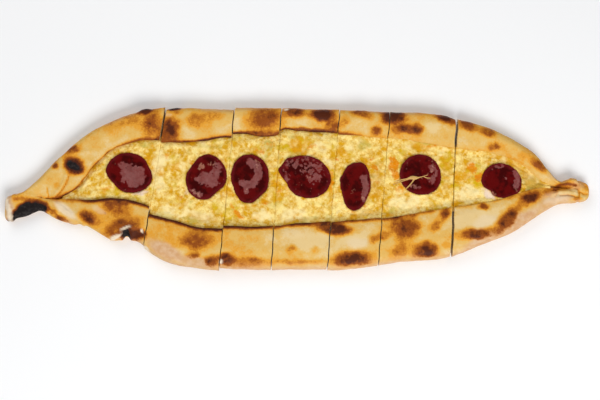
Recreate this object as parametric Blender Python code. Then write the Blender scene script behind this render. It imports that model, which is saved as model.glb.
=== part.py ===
"""A boat-shaped cheese flatbread with sausage rounds, baked whole and cut across into seven slices.

X runs along the boat from its left tip to its right one, Y runs across it, and Z is up from what it lies on.
Each slice is three solids: the bread, which is a thin base with two folded sides, the melted cheese that runs
in under the folds, and one round of sausage. The tables below are in millimetres, and the meshes in metres.
"""

import bmesh
import bpy
import numpy as np

MM = 0.001

# The plan of the boat: (x, y) knots of each side's outer edge and of the lip where its fold ends
UPPER_EDGE = (
    (-261.5, -8), (-248, -4), (-235.5, 7), (-223, 20), (-208.5, 34), (-191, 48.5), (-173, 58.5),
    (-155, 66), (-137, 71), (-119, 73.5), (-52, 73), (2, 72), (43, 71), (83, 69.5), (119, 68.5),
    (142, 63.5), (164, 58), (183, 51), (201, 41), (217.5, 29), (228, 15), (235.5, 6.5), (249, 9.5), (263, 3),
)
UPPER_LIP = (
    (-261.5, -17), (-247, -9), (-215.5, -9), (-201, -2), (-187, 15.5), (-170.5, 32), (-147, 42),
    (-124, 43), (-88, 44), (-52, 49), (-20, 47.2), (-12, 51.2), (2, 51.5), (47, 48), (92, 44.5), (142, 36.5),
    (180.5, 31), (197.5, 24), (212, 14.5), (224.5, 4), (236, 1.5), (263, -2),
)
LOWER_LIP = (
    (-261.5, -19), (-247, -10.8), (-215.5, -10.8), (-183, -10.8), (-161.5, -10), (-137, -17), (-119, -24.8),
    (-88, -33.6), (-62, -35.2), (-52, -36), (2, -33), (47, -29.5), (92, -25.5), (137, -18), (177, -11.5),
    (211, -1.5), (224.5, 0.5), (236, -0.5), (263, -4),
)
LOWER_EDGE = (
    (-261.5, -30.5), (-246, -26), (-232, -21.5), (-217.5, -28), (-203, -33), (-192, -34), (-169, -46),
    (-142, -49.5), (-134, -55.5), (-119, -64.5), (-92, -70.5), (-65, -73), (-30, -74), (2, -74), (47, -73),
    (92, -66.5), (137, -62), (164, -51.5), (193, -40), (223.5, -20.5), (236, -14), (250, -13), (263, -11),
)

# Heights along the boat: (x, z) knots of the top of each folded side, and how far each tip lifts off
UPPER_CROWN = (
    (-262, 12), (-235, 12.5), (-205, 13.5), (-150, 15.5), (0, 15), (140, 15.5), (200, 13.5), (228, 12),
    (250, 13), (263, 9),
)
LOWER_CROWN = (
    (-262, 14), (-235, 13), (-200, 15), (-150, 17), (0, 17.5), (140, 17), (200, 15), (228, 13),
    (250, 14), (263, 9),
)
LEFT_LIFT, RIGHT_LIFT = (-264, -218, 2.6), (236, 266, 2.8)
LIP_DROP = 3.0
LIP_THICKNESS = 2.8
SEAM_LIP = 0.9
SEAM_DEPTH, SEAM_LEAN, SEAM_GAP = 0.32, 0.2, 1.9
BASE_THICKNESS = 4.0
FLOOR_SAG = 0.4
WALL_THICKNESS = 9.0
EDGE_ROUNDING = 6.0
CAVITY_HEIGHT = 4.0

# Where the folds part at the left tip and meet at the right one, and where the cheese runs in under them
PARTING, MEETING = (-216, -192), (212, 234)
DEEP_FROM, DEEP_TO = (-190, -140), (150, 205)

# The knife's cuts: x on the axis, and how wide each stands open at the lower and the upper side
CUTS = (
    (-130, 1.6, 2.2), (-63.5, 1.2, 1.8), (-19, 1.4, 1.5), (32.5, 1.4, 1.1), (78, 1.3, 1.1), (141, 2.5, 2.8),
)
SLANT = (
    (-262, 0), (-200, 0.03), (-130, 0.148), (-63.5, 0.09), (-19, 0.062), (32.5, 0.08), (78, 0.083),
    (141, 0.05), (200, 0.02), (263, 0),
)
SLICE_SHIFTS = (0.6, -1.4, 0.9, 0.7, 0.1, 0.1, 0.1)
LEFT_TIP, RIGHT_TIP = -260.7, 258.2
TIP_ROUNDINGS = (2.5, 5.0)
STATION_STEP_TIP, STATION_STEP_MIDDLE = 7.0, 7.5

# The cheese: where it starts and ends, its level between the lips, its lumps, and its gaps all round
CHEESE_FROM, CHEESE_TO = -199.0, 219.0
CHEESE_LEVEL = 9.6
LUMP_HEIGHT = 0.45
SHORE_WIDTH, SHORE_DROP = 7.0, 0.55
CHEESE_COLUMNS = 12
CLEARANCE = 0.45
CHEESE_CUT_GAP = 0.7

# The sausage rounds: x and y of the centre, half width, half length, turn in degrees, and a flat side or None
ROUNDS = (
    (-152, 14, 21.8, 17.8, -14, None),
    (-83, 10.5, 19.2, 21.2, -8, None),
    (-43, 8.5, 17.0, 22.0, 4, None),
    (7, 10, 24.2, 19.2, -12, None),
    (52, 1, 14.2, 22.4, -10, None),
    (110.5, 12.5, 18.8, 18.4, 0, None),
    (184, 5.5, 18.2, 17.6, 0, (-74, 13.2)),
)
ROUND_THICKNESS = 2.6
ROUND_RIM_LIFT = 0.9
ROUND_SUNK = 1.2
ROUND_SIDES = 24

CRUST = ((0.80, 0.50, 0.19), 0.72)
CHEESE = ((0.83, 0.60, 0.17), 0.42)
SAUSAGE = ((0.14, 0.012, 0.010), 0.22)


def curve(knots):
    """A smooth curve through (x, value) knots, as a function of x."""
    xs, values = (np.array(column, float) for column in zip(*knots))
    slopes = np.gradient(values, xs)

    def at(x):
        x = np.clip(x, xs[0], xs[-1])
        i = np.clip(np.searchsorted(xs, x) - 1, 0, len(xs) - 2)
        span = xs[i + 1] - xs[i]
        s = (x - xs[i]) / span
        start = (1 + 2 * s) * (1 - s) ** 2 * values[i] + s * (1 - s) ** 2 * span * slopes[i]
        end = s * s * (3 - 2 * s) * values[i + 1] + s * s * (s - 1) * span * slopes[i + 1]
        return start + end

    return at


upper_edge, upper_lip = curve(UPPER_EDGE), curve(UPPER_LIP)
lower_lip, lower_edge = curve(LOWER_LIP), curve(LOWER_EDGE)
upper_crown, lower_crown = curve(UPPER_CROWN), curve(LOWER_CROWN)
slant = curve(SLANT)


def ease(low, high, x):
    """Rises smoothly from 0 at low to 1 at high."""
    s = np.clip((x - low) / (high - low), 0, 1)
    return s * s * (3 - 2 * s)


def mix(a, b, share):
    return a + (b - a) * share


def underside(x):
    """The height of the underside: flat but for the two tips."""
    (left, left_end, left_lift), (right, right_end, right_lift) = LEFT_LIFT, RIGHT_LIFT
    return left_lift * (1 - ease(left, left_end, x)) + right_lift * ease(right, right_end, x)


def ripple(x, phase):
    """The uneven rise of baked dough along the boat, from about -1 to 1."""
    long, middling = np.sin(x / 19.7 - phase), np.sin(x / 11.3 + phase)
    return 0.5 * middling + 0.3 * np.sin(x / 6.1 + 2.3 * phase) + 0.2 * long


def lumps(x, y):
    """The uneven top of the melted cheese, from about -1 to 1."""
    small = np.sin(x / 5.3 + 1.7 * np.sin(y / 9.1)) * np.cos(y / 6.2 + 0.8)
    return 0.55 * small + 0.45 * np.sin(x / 12.7 + y / 8.3)


def openness(x):
    """0 where the two folds meet in a seam, 1 where the filling shows between them."""
    return ease(*PARTING, x) * (1 - ease(*MEETING, x))


def across(x, line):
    """The y at which the slanted line across the boat at x meets one of its edges."""
    y = line(x)
    for _ in range(8):
        y = line(x + slant(x) * y)
    return y


def fold(x, edge_y, lip_y, crown_z):
    """One folded side in the section at x: its width, heights and the cavity under it.

    Where the folds meet, the cavity is only the groove of the seam, whose walls lean away from the lips.
    """
    width = abs(edge_y - lip_y)
    opened = openness(x)
    depth = ease(*DEEP_FROM, x) * (1 - ease(*DEEP_TO, x))
    lip_z = crown_z - LIP_DROP
    return {
        "edge": edge_y,
        "inward": np.sign(lip_y - edge_y),
        "width": width,
        "opened": opened,
        "base": underside(x),
        "crown": crown_z,
        "lip": lip_z,
        "under_lip": lip_z - mix(SEAM_LIP, LIP_THICKNESS, opened),
        "floor": mix(mix(lip_z, underside(x), SEAM_DEPTH), underside(x) + BASE_THICKNESS, opened),
        "wall": mix(width + SEAM_LEAN, mix(0.86 * width, min(WALL_THICKNESS, 0.6 * width), depth), opened),
    }


def outer_path(f):
    """Points (y, z) of a fold's outside, from what it lies on round the edge and over the top to the lip."""
    w, base, crown, lip = f["width"], f["base"], f["crown"], f["lip"]
    e = min(EDGE_ROUNDING, 0.3 * w + 0.5)
    rise = crown - base
    path = (
        (e, base),
        (0.32 * e, base + 0.08 * rise),
        (0, base + 0.34 * rise),
        (0.10 * e, base + 0.62 * rise),
        (0.42 * e, base + 0.87 * rise),
        (max(0.32 * w, e), crown),
        (0.64 * w, mix(crown, lip, 0.3)),
        (0.90 * w, mix(crown, lip, 0.75)),
        (w, lip - 0.8),
    )
    return [(f["edge"] + f["inward"] * a, z) for a, z in path]


def inner_path(f):
    """Points (y, z) of a fold's inside, from the floor under its lip round the cavity's wall to the lip."""
    w, wall, floor, under, opened = f["width"], f["wall"], f["floor"], f["under_lip"], f["opened"]
    run = w - wall
    roof = min(floor + CAVITY_HEIGHT, under - 0.15)
    path = (
        (max(w, wall), floor),
        (wall + 0.14 * run, floor + 0.1 * (roof - floor)),
        (wall + mix(0.3, 0.0, opened) * run, mix(floor, roof, 0.5)),
        (wall + mix(0.5, 0.16, opened) * run, mix(floor, roof, 0.96)),
        (wall + mix(0.8, 0.6, opened) * run, mix(roof, under, 0.4)),
        (w - min(0.4, max(run, 0)), under),
    )
    return [(f["edge"] + f["inward"] * a, z) for a, z in path]


def folds(x, slice_index):
    """The lower and upper fold at x, moved across with their slice."""
    swell = 0.8 * openness(x)
    low, high = across(x, lower_lip), across(x, upper_lip)
    spread = max(0, SEAM_GAP - (high - low)) / 2
    lower = fold(x, across(x, lower_edge), low - spread, lower_crown(x) + swell * ripple(x, 0.4))
    upper = fold(x, across(x, upper_edge), high + spread, upper_crown(x) + swell * ripple(x, 2.9))
    for side in (lower, upper):
        side["edge"] += SLICE_SHIFTS[slice_index]
    return lower, upper


def middle_of(lower, upper):
    """The y halfway between the two lips."""
    lips = [f["edge"] + f["inward"] * f["width"] for f in (lower, upper)]
    return sum(lips) / 2


def bread_section(x, slice_index):
    """The closed outline (y, z) of the bread at x: the outside from lip to lip, then the cavity back."""
    lower, upper = folds(x, slice_index)
    middle = middle_of(lower, upper)
    floor = [(middle, (upper["floor"] + lower["floor"]) / 2 - FLOOR_SAG)]
    outside = outer_path(lower)[::-1] + outer_path(upper)
    return np.array(outside + inner_path(upper)[::-1] + floor + inner_path(lower))


def inset(path, gap):
    """An open path moved to its left by gap."""
    path = np.array(path)
    along = np.gradient(path, axis=0)
    along /= np.linalg.norm(along, axis=1)[:, None]
    return path + gap * np.column_stack((-along[:, 1], along[:, 0]))


def cheese_top(x, y, lower, upper):
    """The height of the melted cheese, which climbs to the underside of each lip."""
    level = min(CHEESE_LEVEL, min(lower["lip"], upper["lip"]) - 1.6)
    gaps = [abs(y - f["edge"] - f["inward"] * f["width"]) for f in (lower, upper)]
    near, f = min(zip(gaps, (lower, upper)), key=lambda pair: pair[0])
    return mix(f["under_lip"] - SHORE_DROP, level + LUMP_HEIGHT * lumps(x, y), ease(0, SHORE_WIDTH, near))


def cheese_section(x, slice_index):
    """The closed outline (y, z) of the cheese at x: from one side over the top, then back below."""
    lower, upper = folds(x, slice_index)
    middle = middle_of(lower, upper)
    floor = [(middle, (upper["floor"] + lower["floor"]) / 2 - FLOOR_SAG)]
    cavity = inset(inner_path(lower)[::-1] + floor + inner_path(upper), CLEARANCE)
    shores = [f["edge"] + f["inward"] * (f["width"] + 0.8) for f in (upper, lower)]
    ys = np.linspace(shores[0], shores[1], CHEESE_COLUMNS)
    top = [(y, cheese_top(x, y, lower, upper)) for y in ys]
    outline = np.vstack((cavity, top))[::-1]
    return np.roll(outline, -(len(outline) - 4), axis=0)


def placed(section, x, opening=(0.0, 0.0)):
    """A section in space: its line across the boat slants, and at a cut it stands back by its opening."""
    y = section[:, 0]
    back = mix(opening[0], opening[1], (y - lower_edge(x)) / (upper_edge(x) - lower_edge(x)))
    return np.column_stack((x + slant(x) * y + back, y, section[:, 1])) * MM


def shrunk(ring, share):
    """A ring drawn in towards its own middle."""
    middle = (ring.max(0) + ring.min(0)) / 2
    return middle + (ring - middle) * (share, share, share)


def material(name, look):
    colour, roughness = look
    made = bpy.data.materials.new(name)
    made.use_nodes = True
    shader = made.node_tree.nodes["Principled BSDF"]
    shader.inputs["Base Color"].default_value = (*colour, 1)
    shader.inputs["Roughness"].default_value = roughness
    made.diffuse_color = (*colour, 1)
    return made


def nearest_rungs(ring):
    """Rungs (i, j) of a ladder across a closed outline whose second half runs back beside its first."""
    i, j = 0, len(ring) - 1
    rungs = [(i, j)]
    while j - i > 1:
        if np.linalg.norm(ring[i + 1] - ring[j]) <= np.linalg.norm(ring[i] - ring[j - 1]):
            i += 1
        else:
            j -= 1
        rungs.append((i, j))
    return rungs


def bread_rungs(_ring):
    """Rungs across a bread section: outside to cavity over the lower fold, the base, and the upper fold."""
    outside = (8, 7, 6, 6, 5, 5, 4, 3, 3, 2, 1, 0, 0, 0)
    inside = (5, 5, 5, 4, 4, 3, 3, 3, 2, 2, 2, 2, 1, 0)
    lower = [(8 - i, 25 + j) for i, j in zip(outside, inside)]
    upper = [(9 + i, 23 - j) for i, j in zip(outside[::-1], inside[::-1])]
    return lower + [(8, 24), (9, 24)] + upper


def cap(shape, row, rungs, outward):
    """Fills a closed outline with the triangles between the rungs of a ladder across it."""
    for (i, j), (following_i, following_j) in zip(rungs, rungs[1:]):
        corners = (i, following_i, j) if following_j == j else (i, following_j, j)
        if len(set(corners)) == 3:
            shape.faces.new([row[k] for k in corners[::outward]])


def loft(name, rings, look, collection, find_rungs=nearest_rungs):
    """A closed solid through rings of equally many points, its two ends filled flat."""
    mesh = bpy.data.meshes.new(name)
    shape = bmesh.new()
    rows = [[shape.verts.new(point) for point in ring] for ring in rings]
    count = len(rows[0])
    for row, following in zip(rows, rows[1:]):
        for i in range(count):
            j = (i + 1) % count
            shape.faces.new((row[i], row[j], following[j]))
            shape.faces.new((row[i], following[j], following[i]))
    cap(shape, rows[0], find_rungs(rings[0]), -1)
    cap(shape, rows[-1], find_rungs(rings[-1]), 1)
    if shape.calc_volume(signed=True) < 0:
        bmesh.ops.reverse_faces(shape, faces=shape.faces)
    shape.to_mesh(mesh)
    shape.free()
    mesh.materials.append(look)
    mesh.shade_smooth()
    mesh.set_sharp_from_angle(angle=0.7)
    made = bpy.data.objects.new(name, mesh)
    collection.objects.link(made)
    return made


def stations(start, end, step):
    return np.linspace(start, end, max(2, round((end - start) / step)) + 1)


def slice_ends(index):
    """Where a slice starts and ends on the axis, and its opening there at the lower and the upper side."""
    start, start_opening = LEFT_TIP, (0.0, 0.0)
    end, end_opening = RIGHT_TIP, (0.0, 0.0)
    if index > 0:
        start, low, high = CUTS[index - 1]
        start_opening = (low / 2, high / 2)
    if index < len(CUTS):
        end, low, high = CUTS[index]
        end_opening = (-low / 2, -high / 2)
    return start, start_opening, end, end_opening


def bread_stations(index):
    start, _, end, _ = slice_ends(index)
    tip = index in (0, len(CUTS))
    return stations(start, end, STATION_STEP_TIP if tip else STATION_STEP_MIDDLE)


def make_bread(index, look, collection):
    """One slice's bread, with its cut faces standing back from the knife and its tip, if any, rounded."""
    _, start_opening, _, end_opening = slice_ends(index)
    xs = bread_stations(index)
    openings = [start_opening] + [(0.0, 0.0)] * (len(xs) - 2) + [end_opening]
    rings = [
        placed(bread_section(x + sum(opening) / 2, index), x, opening)
        for x, opening in zip(xs, openings)
    ]
    if index == 0:
        rings.insert(0, shrunk(rings[0], 0.8) - (TIP_ROUNDINGS[0] * MM, 0, 0))
    if index == len(CUTS):
        rings.append(shrunk(rings[-1], 0.5) + (TIP_ROUNDINGS[1] * MM, 0, 0))
    return loft(f"bread_{index + 1}", rings, look, collection, bread_rungs)


def make_cheese(index, look, collection):
    """One slice's cheese, on the same stations as its bread, so that the gap between them stays even."""
    start, _, end, _ = slice_ends(index)
    xs = [x for x in bread_stations(index) if CHEESE_FROM < x < CHEESE_TO]
    gap = CHEESE_CUT_GAP / 2
    openings = [(0.0, 0.0)] * len(xs)
    if index > 0:
        openings[0] = (gap, gap)
    if index < len(CUTS):
        openings[-1] = (-gap, -gap)
    rings = [
        placed(cheese_section(x + sum(opening) / 2, index), x, opening)
        for x, opening in zip(xs, openings)
    ]
    return loft(f"cheese_{index + 1}", rings, look, collection)


def round_outline(entry, phase, extra=0.0):
    """The uneven outline of a sausage round in plan, grown by extra."""
    x, y, half_width, half_length, turn, flat = entry
    angle = np.arange(ROUND_SIDES) * 2 * np.pi / ROUND_SIDES
    wobble = 1 + 0.02 * np.sin(3 * angle + phase) + 0.012 * np.sin(5 * angle + 2 * phase)
    radius = wobble / np.hypot(np.cos(angle) / half_width, np.sin(angle) / half_length)
    heading = angle + np.radians(turn)
    if flat:
        side, reach = np.radians(flat[0]), flat[1]
        toward = np.cos(heading - side)
        radius = np.where(toward > 0.2, np.minimum(radius, reach / np.maximum(toward, 0.2)), radius)
    radius = radius + extra
    return np.column_stack((x + radius * np.cos(heading), y + radius * np.sin(heading)))


def round_rings(entry, phase):
    """Rings of a sausage round, cupped by the heat: the bottom, the rim, and the dished top."""
    outline = round_outline(entry, phase)
    middle = np.array(entry[:2])
    seat = CHEESE_LEVEL - ROUND_SUNK
    top = seat + ROUND_THICKNESS
    levels = (
        (0.93, seat),
        (1.00, seat + 0.5 * ROUND_THICKNESS),
        (0.97, top + ROUND_RIM_LIFT),
        (0.86, top + 0.75 * ROUND_RIM_LIFT),
        (0.50, top),
    )
    return [
        np.column_stack((middle + (outline - middle) * share, np.full(ROUND_SIDES, z))) * MM
        for share, z in levels
    ]


def sink(cheese, entry, phase, collection, cutters):
    """Presses a round's seat into the cheese, with the gap that keeps them apart."""
    outline = round_outline(entry, phase, extra=CLEARANCE)
    seat = CHEESE_LEVEL - ROUND_SUNK - CLEARANCE
    rings = [np.column_stack((outline, np.full(ROUND_SIDES, z))) * MM for z in (seat, seat + 12)]
    cutter = loft(f"seat_{cheese.name}", rings, cheese.data.materials[0], cutters)
    cutter.hide_render = True
    cutter.display_type = "WIRE"
    pocket = cheese.modifiers.new("seat", "BOOLEAN")
    pocket.operation = "DIFFERENCE"
    pocket.solver = "EXACT"
    pocket.object = cutter


def main():
    for old in list(bpy.data.objects):
        bpy.data.objects.remove(old)
    boat = bpy.data.collections.new("flatbread")
    cutters = bpy.data.collections.new("cutters")
    for collection in (boat, cutters):
        bpy.context.scene.collection.children.link(collection)
    crust = material("crust", CRUST)
    melted = material("cheese", CHEESE)
    sausage = material("sausage", SAUSAGE)
    for index, entry in enumerate(ROUNDS):
        make_bread(index, crust, boat)
        cheese = make_cheese(index, melted, boat)
        sink(cheese, entry, index, boat, cutters)
        loft(f"sausage_{index + 1}", round_rings(entry, index), sausage, boat)


main()
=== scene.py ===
"""A boat-shaped cheese flatbread with sausage rounds, baked whole and cut across into seven slices.

X runs along the boat from its left tip to its right one, Y runs across it, and Z is up from what it lies on.
Each slice's bread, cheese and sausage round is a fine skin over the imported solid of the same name: the same
sections, with the blisters, browning, creases and melted strands that baking gives them. The bread's tables
are in millimetres, and its meshes in metres. The third value in a call of cloud or rough is its seed.
"""

import bpy
import numpy as np
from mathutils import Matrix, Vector


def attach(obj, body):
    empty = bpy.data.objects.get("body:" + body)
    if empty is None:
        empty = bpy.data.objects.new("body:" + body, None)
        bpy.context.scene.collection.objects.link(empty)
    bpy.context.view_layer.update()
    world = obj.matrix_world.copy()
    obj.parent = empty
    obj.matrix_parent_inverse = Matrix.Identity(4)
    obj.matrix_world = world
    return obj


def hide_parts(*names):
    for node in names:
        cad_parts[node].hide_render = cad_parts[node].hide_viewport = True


bl_info = {
    "name": "Sliced Cheese Flatbread",
    "version": (1, 0, 0),
    "blender": (4, 5, 0),
    "location": "3D View > Sidebar > Flatbread",
    "description": "Dresses a boat-shaped flatbread with baked crust, melted cheese and sausage rounds",
    "category": "Mesh",
}

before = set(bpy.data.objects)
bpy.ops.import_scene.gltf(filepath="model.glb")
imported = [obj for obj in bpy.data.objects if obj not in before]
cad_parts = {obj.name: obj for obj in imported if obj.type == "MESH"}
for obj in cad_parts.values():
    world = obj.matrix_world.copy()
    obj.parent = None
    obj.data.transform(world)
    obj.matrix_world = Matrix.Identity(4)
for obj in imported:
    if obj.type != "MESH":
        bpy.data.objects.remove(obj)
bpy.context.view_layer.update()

MM = 0.001

# The plan of the boat: (x, y) knots of each side's outer edge and of the lip where its fold ends
UPPER_EDGE = (
    (-261.5, -8), (-248, -4), (-235.5, 7), (-223, 20), (-208.5, 34), (-191, 48.5), (-173, 58.5), (-155, 66),
    (-137, 71), (-119, 73.5), (-52, 73), (2, 72), (43, 71), (83, 69.5), (119, 68.5), (142, 63.5), (164, 58),
    (183, 51), (201, 41), (217.5, 29), (228, 15), (235.5, 6.5), (249, 9.5), (263, 3),
)
UPPER_LIP = (
    (-261.5, -17), (-247, -9), (-215.5, -9), (-201, -2), (-187, 15.5), (-170.5, 32), (-147, 42), (-124, 43),
    (-88, 44), (-52, 49), (-20, 47.2), (-12, 51.2), (2, 51.5), (47, 48), (92, 44.5), (142, 36.5),
    (180.5, 31), (197.5, 24), (212, 14.5), (224.5, 4), (236, 1.5), (263, -2),
)
LOWER_LIP = (
    (-261.5, -19), (-247, -10.8), (-215.5, -10.8), (-183, -10.8), (-161.5, -10), (-137, -17), (-119, -24.8),
    (-88, -33.6), (-62, -35.2), (-52, -36), (2, -33), (47, -29.5), (92, -25.5), (137, -18), (177, -11.5),
    (211, -1.5), (224.5, 0.5), (236, -0.5), (263, -4),
)
LOWER_EDGE = (
    (-261.5, -30.5), (-246, -26), (-232, -21.5), (-217.5, -28), (-203, -33), (-192, -34), (-169, -46),
    (-142, -49.5), (-134, -55.5), (-119, -64.5), (-92, -70.5), (-65, -73), (-30, -74), (2, -74), (47, -73),
    (92, -66.5), (137, -62), (164, -51.5), (193, -40), (223.5, -20.5), (236, -14), (250, -13), (263, -11),
)

# Heights along the boat: (x, z) knots of the top of each folded side, and how far each tip lifts off
UPPER_CROWN = (
    (-262, 12), (-235, 12.5), (-205, 13.5), (-150, 15.5), (0, 15), (140, 15.5), (200, 13.5), (228, 12),
    (250, 13), (263, 9),
)
LOWER_CROWN = (
    (-262, 14), (-235, 13), (-200, 15), (-150, 17), (0, 17.5), (140, 17), (200, 15), (228, 13), (250, 14),
    (263, 9),
)
LEFT_LIFT, RIGHT_LIFT = (-264, -218, 2.6), (236, 266, 2.8)
CROWN_RIPPLE, LIP_STRAY = 0.8, 0.45
LIP_DROP, LIP_THICKNESS, SEAM_LIP = 3.0, 2.8, 0.9
SEAM_DEPTH, SEAM_LEAN, SEAM_GAP = 0.32, 0.2, 0.8
BASE_THICKNESS, FLOOR_SAG, WALL_THICKNESS = 4.0, 0.4, 9.0
EDGE_ROUNDING, CAVITY_HEIGHT = 6.0, 4.0
PARTING, MEETING = (-216, -192), (212, 234)
DEEP_FROM, DEEP_TO = (-190, -140), (150, 205)

# The knife's cuts: x on the axis, and how wide each stands open at the lower and the upper side
CUTS = (
    (-130, 0.7, 2.0), (-63.5, 0.8, 1.2), (-19, 1.0, 1.1), (32.5, 1.0, 0.9), (78, 0.9, 0.9), (141, 2.0, 2.4),
)
SLANT = (
    (-262, 0), (-200, 0.03), (-130, 0.148), (-63.5, 0.09), (-19, 0.062), (32.5, 0.08), (78, 0.083),
    (141, 0.05), (200, 0.02), (263, 0),
)
SLICE_SHIFTS = (0.6, -1.4, 0.9, 0.7, 0.1, 0.1, 0.1)
# How far a slice's lip is dragged across beside a cut: slice, which lip, from and to along x, and how far
LIP_DRAGS = (
    (0, "lower", -160, -134, 1.8), (1, "lower", -104, -138, -3.6), (2, "upper", -30, -20, -1.0),
    (3, "upper", -4, -18, 1.6), (4, "upper", 62, 76, -0.8), (1, "upper", -76, -62, -0.8),
)
LEFT_TIP, RIGHT_TIP = -260.7, 258.2
# Rings that close a tip: how large each is beside the tip's last section, and how far it lies beyond it
LEFT_TIP_RINGS = ((0.985, 0.5), (0.95, 1.1), (0.89, 1.7), (0.80, 2.2), (0.60, 2.5), (0.30, 2.6))
RIGHT_TIP_RINGS = ((0.97, 0.8), (0.92, 1.8), (0.84, 2.9), (0.72, 3.9), (0.55, 4.6), (0.30, 5.0), (0.1, 5.1))
OPENING_FADE, CUT_WOBBLE = 6.0, 0.35

CHEESE_FROM, CHEESE_TO = -212.0, 228.0
CHEESE_LEVEL, LUMP_HEIGHT = 9.6, 0.45
# How far the cheese stays below the lips and above the bread, and how it rounds off beside a cut
CHEESE_BELOW_LIP, CHEESE_ABOVE_FLOOR = 1.6, 0.2
CHEESE_EDGE_RUN, CHEESE_EDGE_DROP = 1.2, 0.3
# The grid of a slice's cheese: columns across its top, and how many of them share one column below
CHEESE_COLUMNS, CHEESE_STRIDE = 92, 6
# One melted strand and one burst bubble for so many square millimetres
STRAND_AREA, PIT_AREA = 13, 60
SHORE_WIDTH, SHORE_DROP, SHORE_REACH = 7.0, 0.55, 3.5
CHEESE_GAPS = ((0.02, 0.0), (0.45, 0.02), (0.05, 0.2), (0.03, 0.08), (0.4, 0.1), (0.3, 0.9))

# The sausage rounds: x and y of the middle, half length, half width, turn, and where the edge is uneven:
# in which direction, over how many degrees, and how far it stands out there
ROUNDS = (
    (-152, 14, 21.8, 17.8, -14, ((15, 22, -2.0), (150, 25, -1.1), (210, 26, -2.6))),
    (-83, 10.5, 19.2, 21.2, -8, ((50, 30, -0.8), (138, 42, -4.0), (200, 18, -0.7), (305, 25, -2.9))),
    (-43, 8.5, 17.0, 22.0, 4, (
        (40, 28, 1.0), (125, 20, 0.4), (207, 18, -1.0), (252, 12, 0.8), (300, 20, -2.3))),
    (7, 10, 24.2, 19.2, -12, (
        (135, 10, 1.1), (165, 7, 1.6), (194, 20, -4.9), (222, 18, -2.0), (255, 25, -1.0), (350, 50, -1.0))),
    (52, 1, 14.2, 22.4, -10, (
        (30, 25, -1.0), (68, 12, 0.6), (112, 12, 0.9), (150, 10, 1.1), (222, 40, -3.4), (320, 30, -1.1))),
    (110.5, 12.5, 18.2, 17.9, 0, ((318, 40, 1.7),)),
    (184, 5.5, 18.2, 17.6, 0, ((55, 40, -1.3), (215, 20, -4.6), (255, 28, -3.8), (295, 20, -2.4))),
)
ROUND_THICKNESS, ROUND_RIM_LIFT, ROUND_SUNK = 2.6, 0.9, 1.2
ROUND_SEAT = CHEESE_LEVEL - ROUND_SUNK - 0.15
CHEESE_SEAT = CHEESE_LEVEL - ROUND_SUNK - 0.25
ROUND_POINTS = 160
# Rings of a round, each as a share of its radius: the underside's with their height over the seat,
# the side's with how far they lie below the rim, and then those of the top
ROUND_UNDERSIDE = ((0.05, 0), (0.5, 0), (0.92, 0), (0.97, 0.3), (0.985, 1.0))
ROUND_SIDE = ((0.998, 0.75), (1.003, 0.4), (1.0, 0.12))
ROUND_TOP = np.concatenate((np.linspace(0.999, 0.93, 6)[1:], np.linspace(0.93, 0.03, 30)[1:]))

# How many steps the skin has between one control point of a fold and the next, and along the base
FOLD_STEPS = (3, 4, 4, 4, 8, 10, 8, 5, 3, 5, 4, 3, 3, 2)
BASE_STEPS = 24
# The step of a fold where its side stands out farthest, its crown, the end of its lip, and its last one
SIDE_STEP, TOP_STEP, LIP_STEP, LAST_STEP = 7, 23, 46, sum(FOLD_STEPS)

# A cut face: the control points of a fold's outside and inside that face each other along it, the rows
# between one pair and the next, the columns from the outside to the inside, and the rows along the base
CUT_OUTSIDE = (8, 7, 6, 6, 5, 5, 4, 3, 3, 2, 1, 0, 0, 0)
CUT_INSIDE = (9, 9, 9, 10, 10, 11, 11, 11, 12, 12, 12, 12, 13, 14)
CUT_ROWS, CUT_COLUMNS, CUT_BASE_ROWS = 7, 8, 17
CRUMB_HOLE_SIZE, CRUMB_HOLE_DEPTH = 3.2, 1.3

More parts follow.
